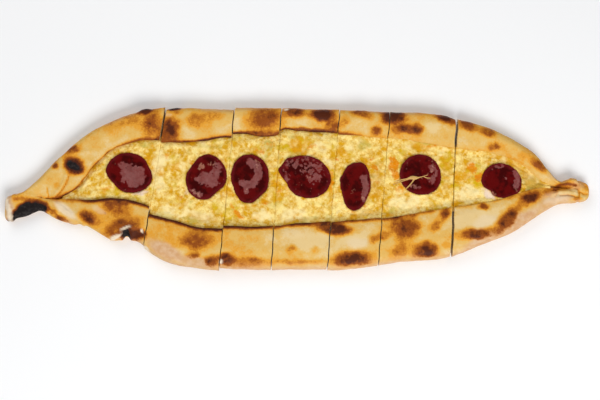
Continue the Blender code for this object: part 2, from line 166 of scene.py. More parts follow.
# Browned spots: x, y, half length, half width, turn in degrees, how dark, and how far the blister rises
UPPER_SPOTS = (
    (-138.6, 70.2, 6.0, 3.2, 14, 1.2, 1.3), (-141.8, 68.4, 9.9, 2.7, 20, 0.5, 0.2),
    (-203, 34.2, 7.2, 3.6, 32, 0.8, 0.4), (-201.2, 20.2, 8.1, 6.8, -25, 1, 0.8),
    (-218.7, 19.8, 3.1, 3.6, 40, 0.7, 0.3), (-216.9, 2.2, 3.1, 2.2, 0, 0.4, 0.1),
    (-167.4, 50.9, 5.9, 3.1, 20, 0.3, 0.2), (-131.8, 57.1, 6.3, 11.2, -15, 0.7, 0.8),
    (-116.5, 51.8, 9, 11.2, -10, 0.85, 0.9), (-111.2, 73.8, 7.2, 2.7, 0, 1.05, 0.9),
    (-109.8, 68.4, 5, 1.8, 0, 0.5, 0.2), (-92.7, 60.8, 6.8, 5.9, 0, 0.55, 0.4),
    (-77.9, 66.2, 9.9, 3.1, 0, 0.45, 0.3), (-30.6, 63, 14, 9, 0, 0.72, 0.8),
    (-34.2, 50, 19.4, 2.2, 0, 0.7, 0.2), (-3.1, 68.9, 8.1, 5, 0, 0.8, 0.7), (22.1, 66.2, 9.9, 5, 0, 1, 0.9),
    (31.1, 57.1, 6.3, 5, 20, 0.7, 0.5), (11.2, 51.3, 25.2, 1.8, 0, 0.8, 0.2),
    (0.9, 53.6, 5, 2.2, 0, 0.8, 0.2), (42.3, 59.9, 4, 3.1, 0, 0.5, 0.3), (58.5, 67, 9.5, 4, -10, 0.65, 0.5),
    (70.7, 51.8, 4.5, 4, 0, 0.7, 0.5), (86.9, 64.8, 9.9, 6.3, 0, 1, 0.9),
    (97.7, 54, 11.7, 3.6, 0, 0.8, 0.6), (90.9, 51.8, 5, 3.1, 0, 0.6, 0.3),
    (105.8, 53.6, 5.4, 5, 0, 0.8, 0.4), (134.1, 63.5, 8.6, 5, -20, 0.9, 0.7),
    (153.5, 57.1, 7.2, 5, -20, 0.75, 0.6), (171.5, 50, 7.2, 4, -15, 0.75, 0.6),
    (176.4, 36.9, 5, 3.6, 0, 0.7, 0.4), (202.1, 29.7, 3.6, 2.7, 0, 0.4, 0.2),
    (217.3, 20.7, 8.5, 3.4, -42, 0.7, 0.5),
)
LOWER_SPOTS = (
    (-219.2, -22.5, 3.6, 2.7, 0, 0.6, 0.2), (-212, -28.4, 5.4, 2.2, -20, 0.8, 0.2),
    (-187.2, -27, 7.6, 5, -40, 0.85, 0.8), (-165.2, -16.2, 12.6, 6.3, -20, 0.62, 0.7),
    (-158.8, -12.6, 6.3, 3.6, 0, 0.8, 0.3), (-158, -36.9, 15.3, 6.3, 20, 0.7, 0.6),
    (-158, -34.2, 4.5, 4.5, 0, 0.8, 0.4), (-144.5, -42.5, 8, 4.5, 0, 1, 0.2),
    (-90.5, -47.2, 12.6, 8.6, 0, 0.68, 0.9), (-92.7, -61.6, 5.9, 3.1, 0, 0.7, 0.4),
    (-128.2, -36.5, 4.5, 2.2, 0, 0.35, 0.2), (-76.5, -66.2, 5.9, 5, 0, 0.75, 0.6),
    (-64.4, -63.5, 6.3, 5, 0, 0.85, 0.7), (-65.2, -51.3, 2.7, 2.7, 0, 0.35, 0.2),
    (-51.8, -53.1, 2.7, 2.7, 0, 0.35, 0.2), (-62.6, -40.1, 3.6, 2.2, 0, 0.35, 0.2),
    (-38.2, -67, 13.5, 3.1, 0, 0.55, 0.2), (-5.4, -55.4, 5, 3.1, 0, 0.5, 0.4),
    (15.8, -56.2, 3.6, 3.1, 0, 0.35, 0.2), (2.2, -66.2, 22.5, 2.4, 0, 0.48, 0.2),
    (3.6, -33.3, 23.9, 1.8, 0, 0.55, 0.2), (34.2, -37.4, 14.8, 5, -5, 0.95, 0.8),
    (48.7, -64.2, 14.8, 6.2, 4, 0.9, 0.8), (68, -45.9, 4.5, 3.6, 0, 0.5, 0.4),
    (76.5, -43.2, 5, 3.6, 0, 0.6, 0.4), (96.8, -35.1, 12.6, 7.2, 0, 0.8, 0.9),
    (98.5, -41.4, 9.9, 5.4, 30, 0.65, 0.6), (131.8, -23.4, 6.5, 4.2, 55, 0.75, 0.6),
    (124.2, -35.1, 6.8, 4.5, 40, 0.6, 0.4), (91.8, -57.1, 7.7, 5, 30, 0.65, 0.5),
    (114.3, -56.7, 9.5, 6.3, 0, 0.9, 0.9), (132.8, -51.8, 4.5, 3.1, 0, 0.4, 0.2),
    (159.3, -41.4, 16.7, 5.4, 3, 0.75, 0.8), (162.9, -43.2, 7.7, 3.6, 0, 0.8, 0.4),
    (167.4, -16.7, 5, 3.1, 0, 0.7, 0.4), (209.2, -9, 9.9, 5.4, 20, 0.85, 0.6),
    (188.1, -28.8, 14, 6, 45, 0.8, 0.6), (226.8, -3.6, 7.7, 3.6, 25, 0.55, 0.2),
    (251.6, -9.8, 4.0, 1.8, 0, 0.62, 0.1), (258.9, 5.4, 3.4, 2.2, 0, 0.3, 0),
)

# Broad fields of deeper gold, or paler where less than 0: x, y, half length, half width, turn, how much
GOLDEN_FIELDS = (
    (-150, 62, 34, 9, 22, 0.14), (-158, -27, 24, 18, -20, 0.24), (-100, -42, 34, 12, -10, 0.20),
    (-46, -52, 24, 22, 0, 0.10), (2, -64, 26, 7, 0, 0.14), (2, -47, 20, 8, 0, -0.10),
    (54, -44, 15, 9, 0, -0.14), (107, -45, 26, 22, 0, 0.16), (165, -27, 20, 10, 22, -0.16),
    (-30, 60, 20, 14, 0, 0.10), (0, 58, 16, 6, 0, -0.10), (125, 54, 14, 7, 0, -0.14),
    (158, 45, 16, 7, -20, -0.14), (-95, 53, 20, 6, 0, -0.08), (-223, 6, 16, 13, 45, -0.04),
    (-196, 9, 11, 13, 0, -0.16), (-205, 24, 16, 8, 40, -0.10), (-86, 59, 14, 8, 0, 0.16),
    (-160, 59, 14, 8, 20, 0.10), (187, 36, 12, 7, -30, 0.10), (-50, -68, 20, 5, 0, 0.26),
    (60, 56, 22, 6, 0, -0.04), (-72, 56, 12, 8, 0, -0.06), (245, 0, 14, 8, 0, -0.10),
    (259, -1, 6, 9, 0, 0.14), (-178, 30, 14, 10, 40, -0.04),
)

# Burnt dough, too dark for browning alone: the points of a line along its middle, half width, how burnt
CHARRED = (
    (((-255, -29.5), (-251.5, -24.5), (-247.5, -19.5), (-242, -17.2), (-236, -16.8), (-229.5, -19.0)),
     5.2, 1.0),
    (((-254.5, -31), (-249, -28.5), (-243, -24.5), (-237, -21.5)), 4.6, 1.0),
    (((-153.7, -40.6), (-154.1, -46.5)), 3.6, 1.0),
    (((-142, 70.6), (-135.5, 72.2)), 2.0, 0.9), (((-205.2, 22.2), (-198.8, 18.6)), 4.0, 0.85),
    (((-114, 73.2), (-108.5, 73.6)), 2.2, 0.9),
)

# Pale dough: where the skin tore or never met the heat: x, y, half length, half width, turn, how pale
PALE_DOUGH = (
    (-259.6, -19, 2.6, 14, 10, 0.9), (-208, -20.5, 14, 4.6, -38, 0.72), (-162.5, -43.6, 6.5, 2.0, 22, 1.0),
    (-154, -36.9, 5.5, 1.3, 24, 0.9), (-139.6, -39.6, 1.5, 1.8, 0, 1.0), (-136.5, -54.5, 6, 2, -35, 0.9),
    (-68, -66.5, 1.6, 2.0, 20, 1.0), (-145.8, 68.9, 3, 1.6, 20, 0.9), (-10.4, 71, 2.6, 1.6, 15, 1.0),
    (-117, 66, 5, 2, 0, 0.25), (-100.4, 76.2, 2.6, 1.6, 0, 0.8), (232, -9, 13, 6, 12, 0.35),
    (54, -50, 12, 6, 0, 0.35), (-2, -42, 14, 5, 0, 0.1), (168, -30, 12, 6, 20, 0.35),
    (-178, -20, 8, 3, -30, 0.3),
)

# Where the steamed, pinkish pale side turns up into sight: x, y, half length, half width, turn, how much
PALE_SIDES = (
    (-258.9, -19, 4.2, 17, 8, 1.1), (253, 3, 7, 5, 0, 0.5), (236, -11, 12, 4, 12, 0.8),
    (234, 9, 8, 3, -20, 0.6), (-118, -57, 19, 7, -28, 1.0), (-92, -67, 24, 5, -12, 0.9),
    (-58, -72, 16, 2.4, 0, 0.35), (168, -48, 24, 5.5, 24, 1.0), (200, -31, 24, 7, 36, 1.0),
    (226, -15, 14, 6, 20, 0.8), (120, -64, 16, 2.6, 8, 0.7), (5, -73, 26, 2.2, 0, 0.5),
    (62, -71, 18, 2.2, 5, 0.5),
)

# Creases and ridges: the points of each, its half width, how far it rises, and how brown it is; that brown is
# partly browning of the fold and partly painted shade in the crease
CREASES = (
    (((-204.8, 17.1), (-206.3, 10.5), (-208.6, 4), (-212.9, -2.7), (-217.4, -7.2)), 0.9, -2.0, 0.60),
    (((-207.2, 17.0), (-208.6, 10.2), (-210.9, 3.6), (-215.2, -3), (-219.6, -7.0)), 1.7, 1.2, 0.0),
    (((-182.8, 23), (-186, 17), (-189.6, 6.4), (-196, -0.4), (-211, -7.4)), 1.1, -1.5, 0.42),
    (((-185.4, 24), (-188.6, 17.6), (-192.4, 6.8), (-199, 0.6), (-213, -6.0)), 1.5, 0.7, 0.0),
    (((-225.5, 0), (-225.2, -4), (-224.6, -8.1)), 0.8, -1.3, 0.52),
    (((-222.8, 19.8), (-216.5, 26.1), (-208.4, 30.6), (-195.8, 32.4), (-185.9, 33.3)), 1.2, 0.7, 0.0),
    (((-220, -12.4), (-212, -17.1), (-203, -24.3), (-193, -32.4)), 1.3, 0.9, 0.0),
    (((-223.7, -18), (-215.6, -25.2), (-206.6, -30.6)), 1.1, -0.9, 0.6),
    (((-213, -22.5), (-205, -27.5), (-197, -31.5)), 2.8, -1.5, 0.16),
    (((-228, 12), (-221, 7), (-214.5, 8)), 0.8, -0.35, 0.3),
    (((232.7, 0), (233.6, -5), (230.9, -9), (233.6, -12.6)), 0.8, -0.8, 0.5),
    (((231.7, -0.4), (236.5, 2.2), (242.6, 3.6), (250.6, 2.3)), 2.6, -1.1, 0.78),
    (((229, -1.6), (237, 0.4), (246, 0.6), (252, -0.8)), 1.0, -0.8, 0.52),
    (((229, -6.5), (236, -3.6), (243, -3.2), (251, -4.6)), 1.1, 0.6, 0.0),
    (((228, 8.5), (234, 5.2), (241, 6.8), (250, 6.4)), 1.1, 0.6, 0.0),
    (((225.5, 16.2), (229, 11), (232.7, 7.2)), 1.0, 0.6, 0.0),
    (((252.8, 10), (254.4, 4.5), (252.9, -1), (253.9, -6), (252.8, -11.7)), 1.2, -1.4, 0.55),
    (((236.3, -6.6), (243, -6.2), (249.8, -7.6)), 0.9, -0.9, 0.56),
    (((235, 8.8), (242, 8.2), (250, 9)), 0.8, -0.5, 0.3),
    (((255.0, 6.4), (258.2, 3.4), (261.4, 1.2)), 1.2, -0.9, 0.50),
    (((254.6, -3.6), (258.0, -5.4), (261.0, -5.2)), 1.1, -0.8, 0.50),
    (((254.8, 1.6), (258.4, -1.4), (261.6, -2.2)), 1.5, 0.8, 0.0),
    (((-167.9, -45), (-162.4, -43.9), (-157.8, -40.2), (-152.5, -36.4), (-141, -34.6)), 1.4, 1.4, 0.0),
    (((-256.0, -7.5), (-258.6, -14), (-259.2, -22), (-257, -28)), 2.0, 1.6, 0.0),
    (((-253.0, -24), (-250, -18.5), (-243, -16.5), (-231, -18)), 4.5, -1.2, 0.0),
    (((-255, -5.2), (-246, -5.4), (-236, -7.0), (-228, -8.4)), 1.0, 0.6, 0.0),
    (((-254.5, -9.8), (-248, -9.6), (-238, -11.2), (-226, -14.0)), 3.0, 0.0, 0.60),
)
# Hollows in the torn blister: x, y, half length, half width, and depth
HOLLOWS = ((-153.9, -43.4, 3.9, 5.2, 3.6), (-141.5, -43.5, 6.5, 4, 1.2))

# Stains on the cheese: x, y, half length, half width, turn, and how strong
ORANGE_STAINS = (
    (87.0, 21, 5.0, 9, 0, 1.3), (89, 12, 4, 5, 20, 0.9), (-53, -23.5, 7, 3.2, -40, 0.9),
    (-59, -16, 3, 4, 0, 0.5), (-28.5, -13.5, 4, 3.4, 0, 0.45), (164, 10, 4.2, 5.0, 0, 0.95),
    (158, 18, 4, 6, 15, 0.75), (-95.5, 24, 3, 5, 0, 0.35), (-172, -1, 7, 3, 0, 0.35),
    (60, -17, 4, 2.4, 20, 0.5), (-17, -4, 3, 8, 0, 0.3), (12, 40, 8, 5, 10, 0.35),
    (-118, 31, 2.6, 6, 0, 0.35), (70, 22, 3, 3, 0, 0.25), (-33, 33, 6, 4, 0, 0.35),
    (92, -1, 6, 4, 20, 0.45), (-107, -8, 4, 4, 0, 0.35), (-25, 40, 4, 8, 0, 0.35),
    (123, 38, 9, 1.6, 0, 0.45), (31, 4, 3, 13, 0, 0.42), (70, 18, 2.6, 5, 30, 0.75),
    (72, 6, 2.4, 2, 0, 0.6), (66, 27, 4, 1.6, 0, 0.6), (36, 26, 3, 2, 0, 0.5),
)
YELLOW_STAINS = (
    (0, 39, 18, 7, 0, 1.2), (161, 14, 11, 13, 0, 1.5), (92, 22, 8, 10, 0, 0.8), (-112, 22, 5, 9, 0, 0.7),
    (-60, -22, 8, 7, -30, 1.3), (26, -6, 6, 9, 0, 0.6), (136, 24, 9, 10, 0, 1.1), (130, 6, 7, 9, 0, 0.6),
    (-100, 8, 6, 10, 0, 0.7), (-108, -14, 12, 6, -20, 0.9), (30, 4, 5, 14, 0, 0.9),
    (-45, -18, 14, 6, -20, 0.5), (-10, -14, 14, 6, 0, 0.5), (50, 30, 14, 8, 0, 0.4),
    (198, 18, 12, 5, -35, 0.6), (-165, -3, 15, 4, 0, 0.4), (-112, 2, 6, 8, 0, 0.4),
    (-35, 35, 10, 5, 0, 0.5), (70, -8, 6, 10, 0, 0.4), (-20, 8, 4, 16, 0, 0.8), (96, -2, 7, 6, 0, 0.6),
    (93, 33, 8, 6, 0, 0.5), (-74, -17, 8, 5.5, -10, 1.1),
)
CREAM_ZONES = (
    (-125, 12, 8, 26, -5, 1.0), (108, -13, 30, 7, 5, 0.9), (154, -5, 14, 9, 10, 1.5),
    (-86, -26, 17, 6, -8, 1.0), (20, 36, 12, 6, 0, 0.5), (58, 27, 18, 5, 0, 0.5),
    (-36, -26, 10, 5.5, 0, 1.0), (100, 38, 16, 3, -4, 0.35), (-2, -24, 15, 6, 0, 0.8),
    (-118, -19, 9, 4, -30, 0.6), (-190, 3, 7, 4, 40, 0.6), (45, -20, 12, 4, 0, 0.4),
)
# Grey-green patches of painted shade in the cheese's dips: x, y, half length, half width, turn, and how strong
GREEN_SHADES = (
    (-137, 40, 12, 4, 0, 0.7), (-26, 40, 6, 5, 0, 0.8), (55, 38, 18, 6, 0, 0.7),
    (-90, -28, 16, 4.5, -10, 0.85), (-75, 36, 14, 5, 0, 0.5), (207, 7, 8, 5, -20, 0.6),
    (-172, 22, 5, 8, -45, 0.5), (70, 8, 4, 9, 0, 0.4), (115, 41, 16, 3, -5, 0.6), (213, 4, 13, 8, -32, 1.2),
    (84, -20, 16, 3, 6, 0.5), (-150, -9, 20, 2.6, 8, 0.5),
)
DULL_ZONES = (
    (71, 7, 5, 18, 0, 1.1), (213, 9, 15, 9, -35, 1.3), (134, 14, 5, 18, 0, 0.7), (185, 28, 16, 5, -25, 0.7),
    (-84, -27, 16, 6, -8, 0.6), (60, -23, 18, 4, 4, 0.7), (110, 38, 24, 5, -5, 0.5),
)
GREASE = ((172.8, -6.2, 8, 4.0, -38, 1.0), (-141, -4.4, 8, 1.8, 6, 0.9), (-100, -3, 3, 2.2, 0, 0.4))

# Where the rounds are glossy with fat and a painted sheen lightens them: points of a line along the middle,
# half width, how strong
WET_AND_SHEEN = (
    (((-151, 13), (-146, 11)), 7.5, 1.0), (((-158.5, 21), (-153, 19)), 3.4, 0.8),
    (((-142.5, 16), (-142, 9)), 3.6, 1.0), (((-150, 6), (-147, 5)), 4.2, 1.0),
    (((-84, 9), (-76.5, 6.5)), 5.2, 1.0), (((-76, 11), (-71.5, 20)), 4.0, 0.75),
    (((-91, 8), (-86, 6)), 2.4, 0.9), (((-94, -2), (-88, -6)), 2.6, 0.6),
    (((-43, 24), (-36.5, 19), (-35, 11), (-40.5, 4)), 3.3, 1.0), (((-50, 4.5), (-43, 3)), 2.8, 0.9),
    (((-47, 1), (-46, -3)), 2.0, 0.9), (((8, 21), (15, 17), (16, 11)), 6.2, 0.62),
    (((-9, 22), (-2, 22)), 3.6, 0.6), (((-12, 14), (-8, 8)), 3.0, 0.5),
    (((59.5, 9), (61.5, 1), (60, -6)), 2.6, 1.0), (((58.5, -8), (60.5, -11)), 1.8, 0.6),
    (((121, 19), (124, 13), (121, 6)), 2.6, 0.75), (((103, 2), (109, 0)), 2.0, 0.5),
    (((197, 14), (198.5, 8), (197, 2)), 2.4, 0.9), (((186, 10), (190, 7)), 0.9, 0.45),
    (((176, 18), (184, 20)), 1.8, 0.5),
)

# Each round's own lie: how much higher it stands toward +x and +y, how deeply it is dished, how wrinkled
ROUND_LIES = (
    (0.0, -0.5, 1.0, 0.5), (0.2, -0.4, 0.9, 0.9), (0.9, -0.2, 1.5, 0.5), (0.1, 0.5, 0.5, 1.5),
    (0.9, 0.1, 1.1, 0.6), (-0.2, 0.3, 1.3, 1.0), (0.4, 0.2, 0.9, 0.6),
)
# Dents in the rounds: the round's number, x and y, half width, and depth
ROUND_DENTS = (
    (5, 106.5, 9.0, 5.5, 1.1), (1, -90, 20, 3.2, 0.7), (2, -49, 14, 5.5, 0.6), (3, -10, 16, 4, 0.5),
)

# Bits of pale fat on the rounds, some of them painted glints: x, y, half length, half width, turn, and how much
FAT_AND_GLINTS = (
    (-86.5, 19.6, 3.6, 2.8, 40, 0.9), (-78.5, 22, 7, 2.6, 5, 0.42), (-92.5, -3.6, 4.2, 2.4, -35, 0.6),
    (-89, -6.4, 1.4, 2.8, 12, 1.0), (115, 11, 8, 3, 10, 0.32), (122, 17, 3, 8, 10, 0.36),
    (104, 2, 5, 1.6, 8, 0.5), (59, -9, 2.4, 2.4, 0, 0.5), (-37, 21, 4, 6, 20, 0.34),
    (-45, -2, 5, 2.4, 0, 0.4), (5, 16, 14, 9, -12, 0.18), (-2, 3, 10, 5, 0, 0.10),
    (176, -6, 4, 2.4, -35, 0.8), (197, 1, 2.4, 6, 0, 0.4),
)

# Threads of melted cheese over the sixth round: x, y and half width in turn
THREADS = (
    ((84.5, 6.4, 0.35), (88.5, 6.4, 0.5), (93.5, 7.4, 0.5), (99, 8.6, 0.6), (103.5, 9.6, 1.7),
     (106.5, 9.4, 1.6), (110, 9.9, 0.5), (114, 10.8, 0.35), (117.5, 12, 0.25)),
    ((105.5, 8.9, 1.1), (103.8, 6.0, 0.6), (101.4, 3.0, 0.55), (99.2, 0.8, 0.5), (97.6, -0.8, 0.3)),
    ((86, 3.2, 0.3), (92, 5.4, 0.4), (98, 7.4, 0.4), (102.5, 9.0, 0.6)),
    ((113.5, 10.7, 0.3), (116.5, 9.4, 0.4), (120, 9.2, 0.25)),
)
THREAD_STEPS, THREAD_POINTS, THREAD_FLATNESS, THREAD_LIFT = 5, 12, 0.4, 0.10
# The threads take the cheese's dip and grey-green colours almost in full, which darkens them
THREAD_MARKS = {
    "strand": 0.4, "pit": 0.3, "orange": 0.1, "butter": 0.1, "cream": 0.0, "shade": 1.0, "grease": 0.35,
    "depth": 0.9,
}

# The stage, in metres. The lights: name, position, what it is turned to, length and width, and power in watts
LIGHTS = (
    ("key", (0.35, -1.05, 1.15), (0, 0, 0), (1.0, 0.7), 18.5),
    ("fill", (-0.7, 0.95, 1.2), (0, 0, 0), (1.4, 1.0), 7.6),
    ("overhead", (0.0, 0.25, 1.7), (0, 0.05, 0), (1.6, 1.0), 3.6),
)
SKY_COLOUR, SKY_STRENGTH = (0.95, 0.97, 1.0, 1), 0.28
FLOOR_HALF, FLOOR_DROP = 4.0, 0.0002
CAMERA_LENS, CAMERA_SENSOR = 85, 36
CAMERA_TARGET = (0.00225, -0.0108, 0.012)


def length_property(name, description, default, **limits):
    """A length that the panel shows."""
    limits["unit"] = "LENGTH"
    return bpy.props.FloatProperty(name=name, description=description, default=default, **limits)


class FlatbreadSizes(bpy.types.PropertyGroup):
    """Sizes that shape the baked skin, and where the camera stands."""

    grain: length_property("Skin grain", "Distance between sections of the bread's skin", 0.0011, min=0.0005)
    cheese_grain: length_property("Cheese grain", "Distance between sections of the cheese", 0.0009, min=0.0004)
    swell: length_property("Swell", "How far the dough swells and sinks over a few centimetres", 0.00055)
    blister: length_property("Blister rise", "How far a full blister stands up from the crust", 0.001)
    strand: length_property("Strand height", "How far melted strands stand up from the cheese", 0.00045)
    camera_angle: bpy.props.FloatProperty(
        name="Camera angle", description="How high the camera stands above the table, as an angle",
        default=1.4835, subtype="ANGLE",
    )
    camera_distance: length_property("Camera distance", "How far the camera is from the bread", 1.275)


def colour_property(name, description, default):
    """A colour that the panel shows."""
    return bpy.props.FloatVectorProperty(
        name=name, description=description, default=default, subtype="COLOR", min=0, max=1,
    )


class FlatbreadColours(bpy.types.PropertyGroup):
    """Colours of the bread and what is on it."""

    dough: colour_property("Pale dough", "Dough that hardly met the heat", (0.80, 0.575, 0.255))
    golden: colour_property("Golden crust", "Lightly baked crust", (0.77, 0.465, 0.115))
    deep_golden: colour_property("Deep golden crust", "Well baked crust", (0.77, 0.345, 0.033))
    amber: colour_property("Amber crust", "The edge of a browned blister", (0.55, 0.19, 0.013))
    brown: colour_property("Browned crust", "Browned blisters", (0.29, 0.070, 0.006))
    dark: colour_property("Dark crust", "The middle of a dark blister", (0.085, 0.016, 0.004))
    burnt: colour_property("Burnt crust", "Charred dough", (0.012, 0.008, 0.008))
    # The side and floured side colours are darkened, partly as painted shade on the bread's steep sides
    side: colour_property("Side", "The steamed side of the bread", (0.64, 0.355, 0.165))
    flour: colour_property("Floured side", "Paler patches of the side", (0.715, 0.47, 0.275))
    crumb: colour_property("Crumb", "Crumb on a cut face", (0.86, 0.70, 0.44))
    # Painted shade: the crumb's pores are darker, as if in shade
    shaded_pores: colour_property("Pores", "The pores of the crumb", (0.62, 0.42, 0.21))
    ash: colour_property("Ash", "Greyer patches of charred dough", (0.035, 0.028, 0.027))
    torn: colour_property("Torn dough", "Dough where the skin tore", (0.88, 0.74, 0.55))
    cheese: colour_property("Cheese", "Melted cheese", (0.71, 0.36, 0.004))
    cream: colour_property("Pale cheese", "The palest cheese", (1.0, 0.775, 0.27))
    butter: colour_property("Yellow cheese", "Cheese stained by its own fat", (0.73, 0.32, 0.0))
    lemon: colour_property("Lemon cheese", "Cheese whose fat ran clear", (0.69, 0.43, 0.004))
    orange: colour_property("Orange stain", "Cheese stained by the sausage's fat", (0.78, 0.25, 0.0))
    # Painted shade: the grey-green laid on the cheese's dips
    shade: colour_property("Greenish cheese", "Thin cheese, grey-green in the dips", (0.56, 0.43, 0.07))
    custard: colour_property("Custard cheese", "The smoothest pale cheese", (0.98, 0.79, 0.37))
    speck: colour_property("Cheese specks", "Small darker specks in the cheese", (0.46, 0.28, 0.03))
    # Painted shade: the colour laid on the cheese where the rounds and lips shade it, and under it
    dip: colour_property("Cheese in a dip", "Cheese beside a round or a lip", (0.58, 0.25, 0.01))
    grease: colour_property("Grease", "Whitish set grease", (0.84, 0.66, 0.54))
    sausage: colour_property("Sausage", "The sausage's cut face", (0.110, 0.002, 0.002))
    deep: colour_property("Deep sausage", "Darker patches of the sausage", (0.045, 0.001, 0.001))
    # Painted sheen: a lighter red standing for the highlight on the sausage's film of fat
    wet: colour_property("Wet sausage", "Sausage under a film of fat", (0.215, 0.012, 0.003))
    rim: colour_property("Sausage rim", "The sausage's skin", (0.135, 0.008, 0.010))
    # The pale fat colour also paints some glints on the rounds
    fat: colour_property("Sausage fat", "Bits of fat in the sausage", (0.55, 0.24, 0.15))
    floor: colour_property("Floor", "The pale floor under the bread", (0.97, 0.97, 0.97))


def curve(knots):
    """A smooth curve through (x, value) knots, as a function of x."""
    xs, values = (np.array(column, float) for column in zip(*knots))
    slopes = np.gradient(values, xs)

    def at(x):
        x = np.clip(x, xs[0], xs[-1])
        i = np.clip(np.searchsorted(xs, x) - 1, 0, len(xs) - 2)
        span = xs[i + 1] - xs[i]
        s = (x - xs[i]) / span
        start = (1 + 2 * s) * (1 - s) ** 2 * values[i] + s * (1 - s) ** 2 * span * slopes[i]
        end = s * s * (3 - 2 * s) * values[i + 1] + s * s * (s - 1) * span * slopes[i + 1]
        return start + end

    return at


upper_edge, upper_lip = curve(UPPER_EDGE), curve(UPPER_LIP)
lower_lip, lower_edge = curve(LOWER_LIP), curve(LOWER_EDGE)
upper_crown, lower_crown = curve(UPPER_CROWN), curve(LOWER_CROWN)
slant = curve(SLANT)


def ease(low, high, x):
    """Runs smoothly from 0 at low to 1 at high."""
    s = np.clip((x - low) / (high - low), 0, 1)
    return s * s * (3 - 2 * s)


def mix(a, b, share):
    """What lies between a and b at a share of the way."""
    return a + (b - a) * share


def underside(x):
    """The height of the underside: flat but for the two tips."""
    (left, left_end, left_lift), (right, right_end, right_lift) = LEFT_LIFT, RIGHT_LIFT
    return left_lift * (1 - ease(left, left_end, x)) + right_lift * ease(right, right_end, x)


def ripple(x, phase):
    """The uneven rise of baked dough along the boat, from about -1 to 1."""
    long_wave = 0.2 * np.sin(x / 19.7 - phase)
    return 0.5 * np.sin(x / 11.3 + phase) + 0.3 * np.sin(x / 6.1 + 2.3 * phase) + long_wave


def lumps(x, y):
    """The uneven top of the melted cheese, from about -1 to 1."""
    small = 0.55 * np.sin(x / 5.3 + 1.7 * np.sin(y / 9.1)) * np.cos(y / 6.2 + 0.8)
    return small + 0.45 * np.sin(x / 12.7 + y / 8.3)


def openness(x):
    """0 where the two folds meet in a seam, 1 where the filling shows between them."""
    return ease(*PARTING, x) * (1 - ease(*MEETING, x))


def across(x, line):
    """The y at which the slanted line across the boat at x meets one of its edges."""
    y = line(x)
    for _ in range(8):
        y = line(x + slant(x) * y)
    return y


def fold(x, edge_y, lip_y, crown_z):
    """One folded side in the section at x: its width, heights and the cavity under it."""
    width = abs(edge_y - lip_y)
    opened = openness(x)
    depth = ease(*DEEP_FROM, x) * (1 - ease(*DEEP_TO, x))
    lip_z = crown_z - LIP_DROP
    return {
        "edge": edge_y,
        "inward": np.sign(lip_y - edge_y),
        "width": width,
        "opened": opened,
        "base": underside(x),
        "crown": crown_z,
        "lip": lip_z,
        "under_lip": lip_z - mix(SEAM_LIP, LIP_THICKNESS, opened),
        "floor": mix(mix(lip_z, underside(x), SEAM_DEPTH), underside(x) + BASE_THICKNESS, opened),
        "wall": mix(width + SEAM_LEAN, mix(0.86 * width, min(WALL_THICKNESS, 0.6 * width), depth), opened),
    }


def outer_path(f):
    """Points (y, z) of a fold's outside, from what it lies on round the edge and over the top to the lip."""
    w, base, crown, lip = f["width"], f["base"], f["crown"], f["lip"]
    e = min(EDGE_ROUNDING, 0.3 * w + 0.5)
    rise = crown - base
    path = (
        (e, base),
        (0.32 * e, base + 0.08 * rise),
        (0, base + 0.34 * rise),
        (0.10 * e, base + 0.62 * rise),
        (0.42 * e, base + 0.87 * rise),
        (max(0.32 * w, e), crown),
        (0.64 * w, mix(crown, lip, 0.3)),
        (0.90 * w, mix(crown, lip, 0.75)),
        (w, lip - 0.8),
    )
    return [(f["edge"] + f["inward"] * a, z) for a, z in path]


def inner_path(f):
    """Points (y, z) of a fold's inside, from the floor under its lip round the cavity's wall to the lip."""
    w, wall, floor, under, opened = f["width"], f["wall"], f["floor"], f["under_lip"], f["opened"]
    run = w - wall
    roof = min(floor + CAVITY_HEIGHT, under - 0.15)
    path = (
        (max(w, wall), floor),
        (wall + 0.14 * run, floor + 0.1 * (roof - floor)),
        (wall + mix(0.3, 0.0, opened) * run, mix(floor, roof, 0.5)),
        (wall + mix(0.5, 0.16, opened) * run, mix(floor, roof, 0.96)),
        (wall + mix(0.8, 0.6, opened) * run, mix(roof, under, 0.4)),
        (w - min(0.4, max(run, 0)), under),
    )
    return [(f["edge"] + f["inward"] * a, z) for a, z in path]


def wander(x, phase):
    """How far a hand-folded lip strays from its line, from about -1 to 1."""
    return 0.6 * np.sin(x / 8.7 + phase) + 0.4 * np.sin(x / 3.9 + 1.9 * phase)


def folds(x, slice_index):
    """The lower and upper fold at x, moved across with their slice."""
    swell = CROWN_RIPPLE * openness(x)
    stray = LIP_STRAY * openness(x)
    low = across(x, lower_lip) + stray * wander(x, 1.1)
    high = across(x, upper_lip) + stray * wander(x, 4.2)
    for number, which, start, end, far in LIP_DRAGS:
        if number == slice_index:
            low += far * ease(start, end, x) * (which == "lower")
            high += far * ease(start, end, x) * (which == "upper")
    spread = max(0, SEAM_GAP - (high - low)) / 2
    lower = fold(x, across(x, lower_edge), low - spread, lower_crown(x) + swell * ripple(x, 0.4))
    upper = fold(x, across(x, upper_edge), high + spread, upper_crown(x) + swell * ripple(x, 2.9))
    for side in (lower, upper):
        side["edge"] += SLICE_SHIFTS[slice_index]
    return lower, upper


def slice_ends(index):
    """Where a slice starts and ends on the axis, and its opening there at the lower and the upper side."""
    start, start_opening = LEFT_TIP, (0.0, 0.0)
    end, end_opening = RIGHT_TIP, (0.0, 0.0)
    if index > 0:
        start, low, high = CUTS[index - 1]
        start_opening = (low / 2, high / 2)
    if index < len(CUTS):
        end, low, high = CUTS[index]
        end_opening = (-low / 2, -high / 2)
    return start, start_opening, end, end_opening


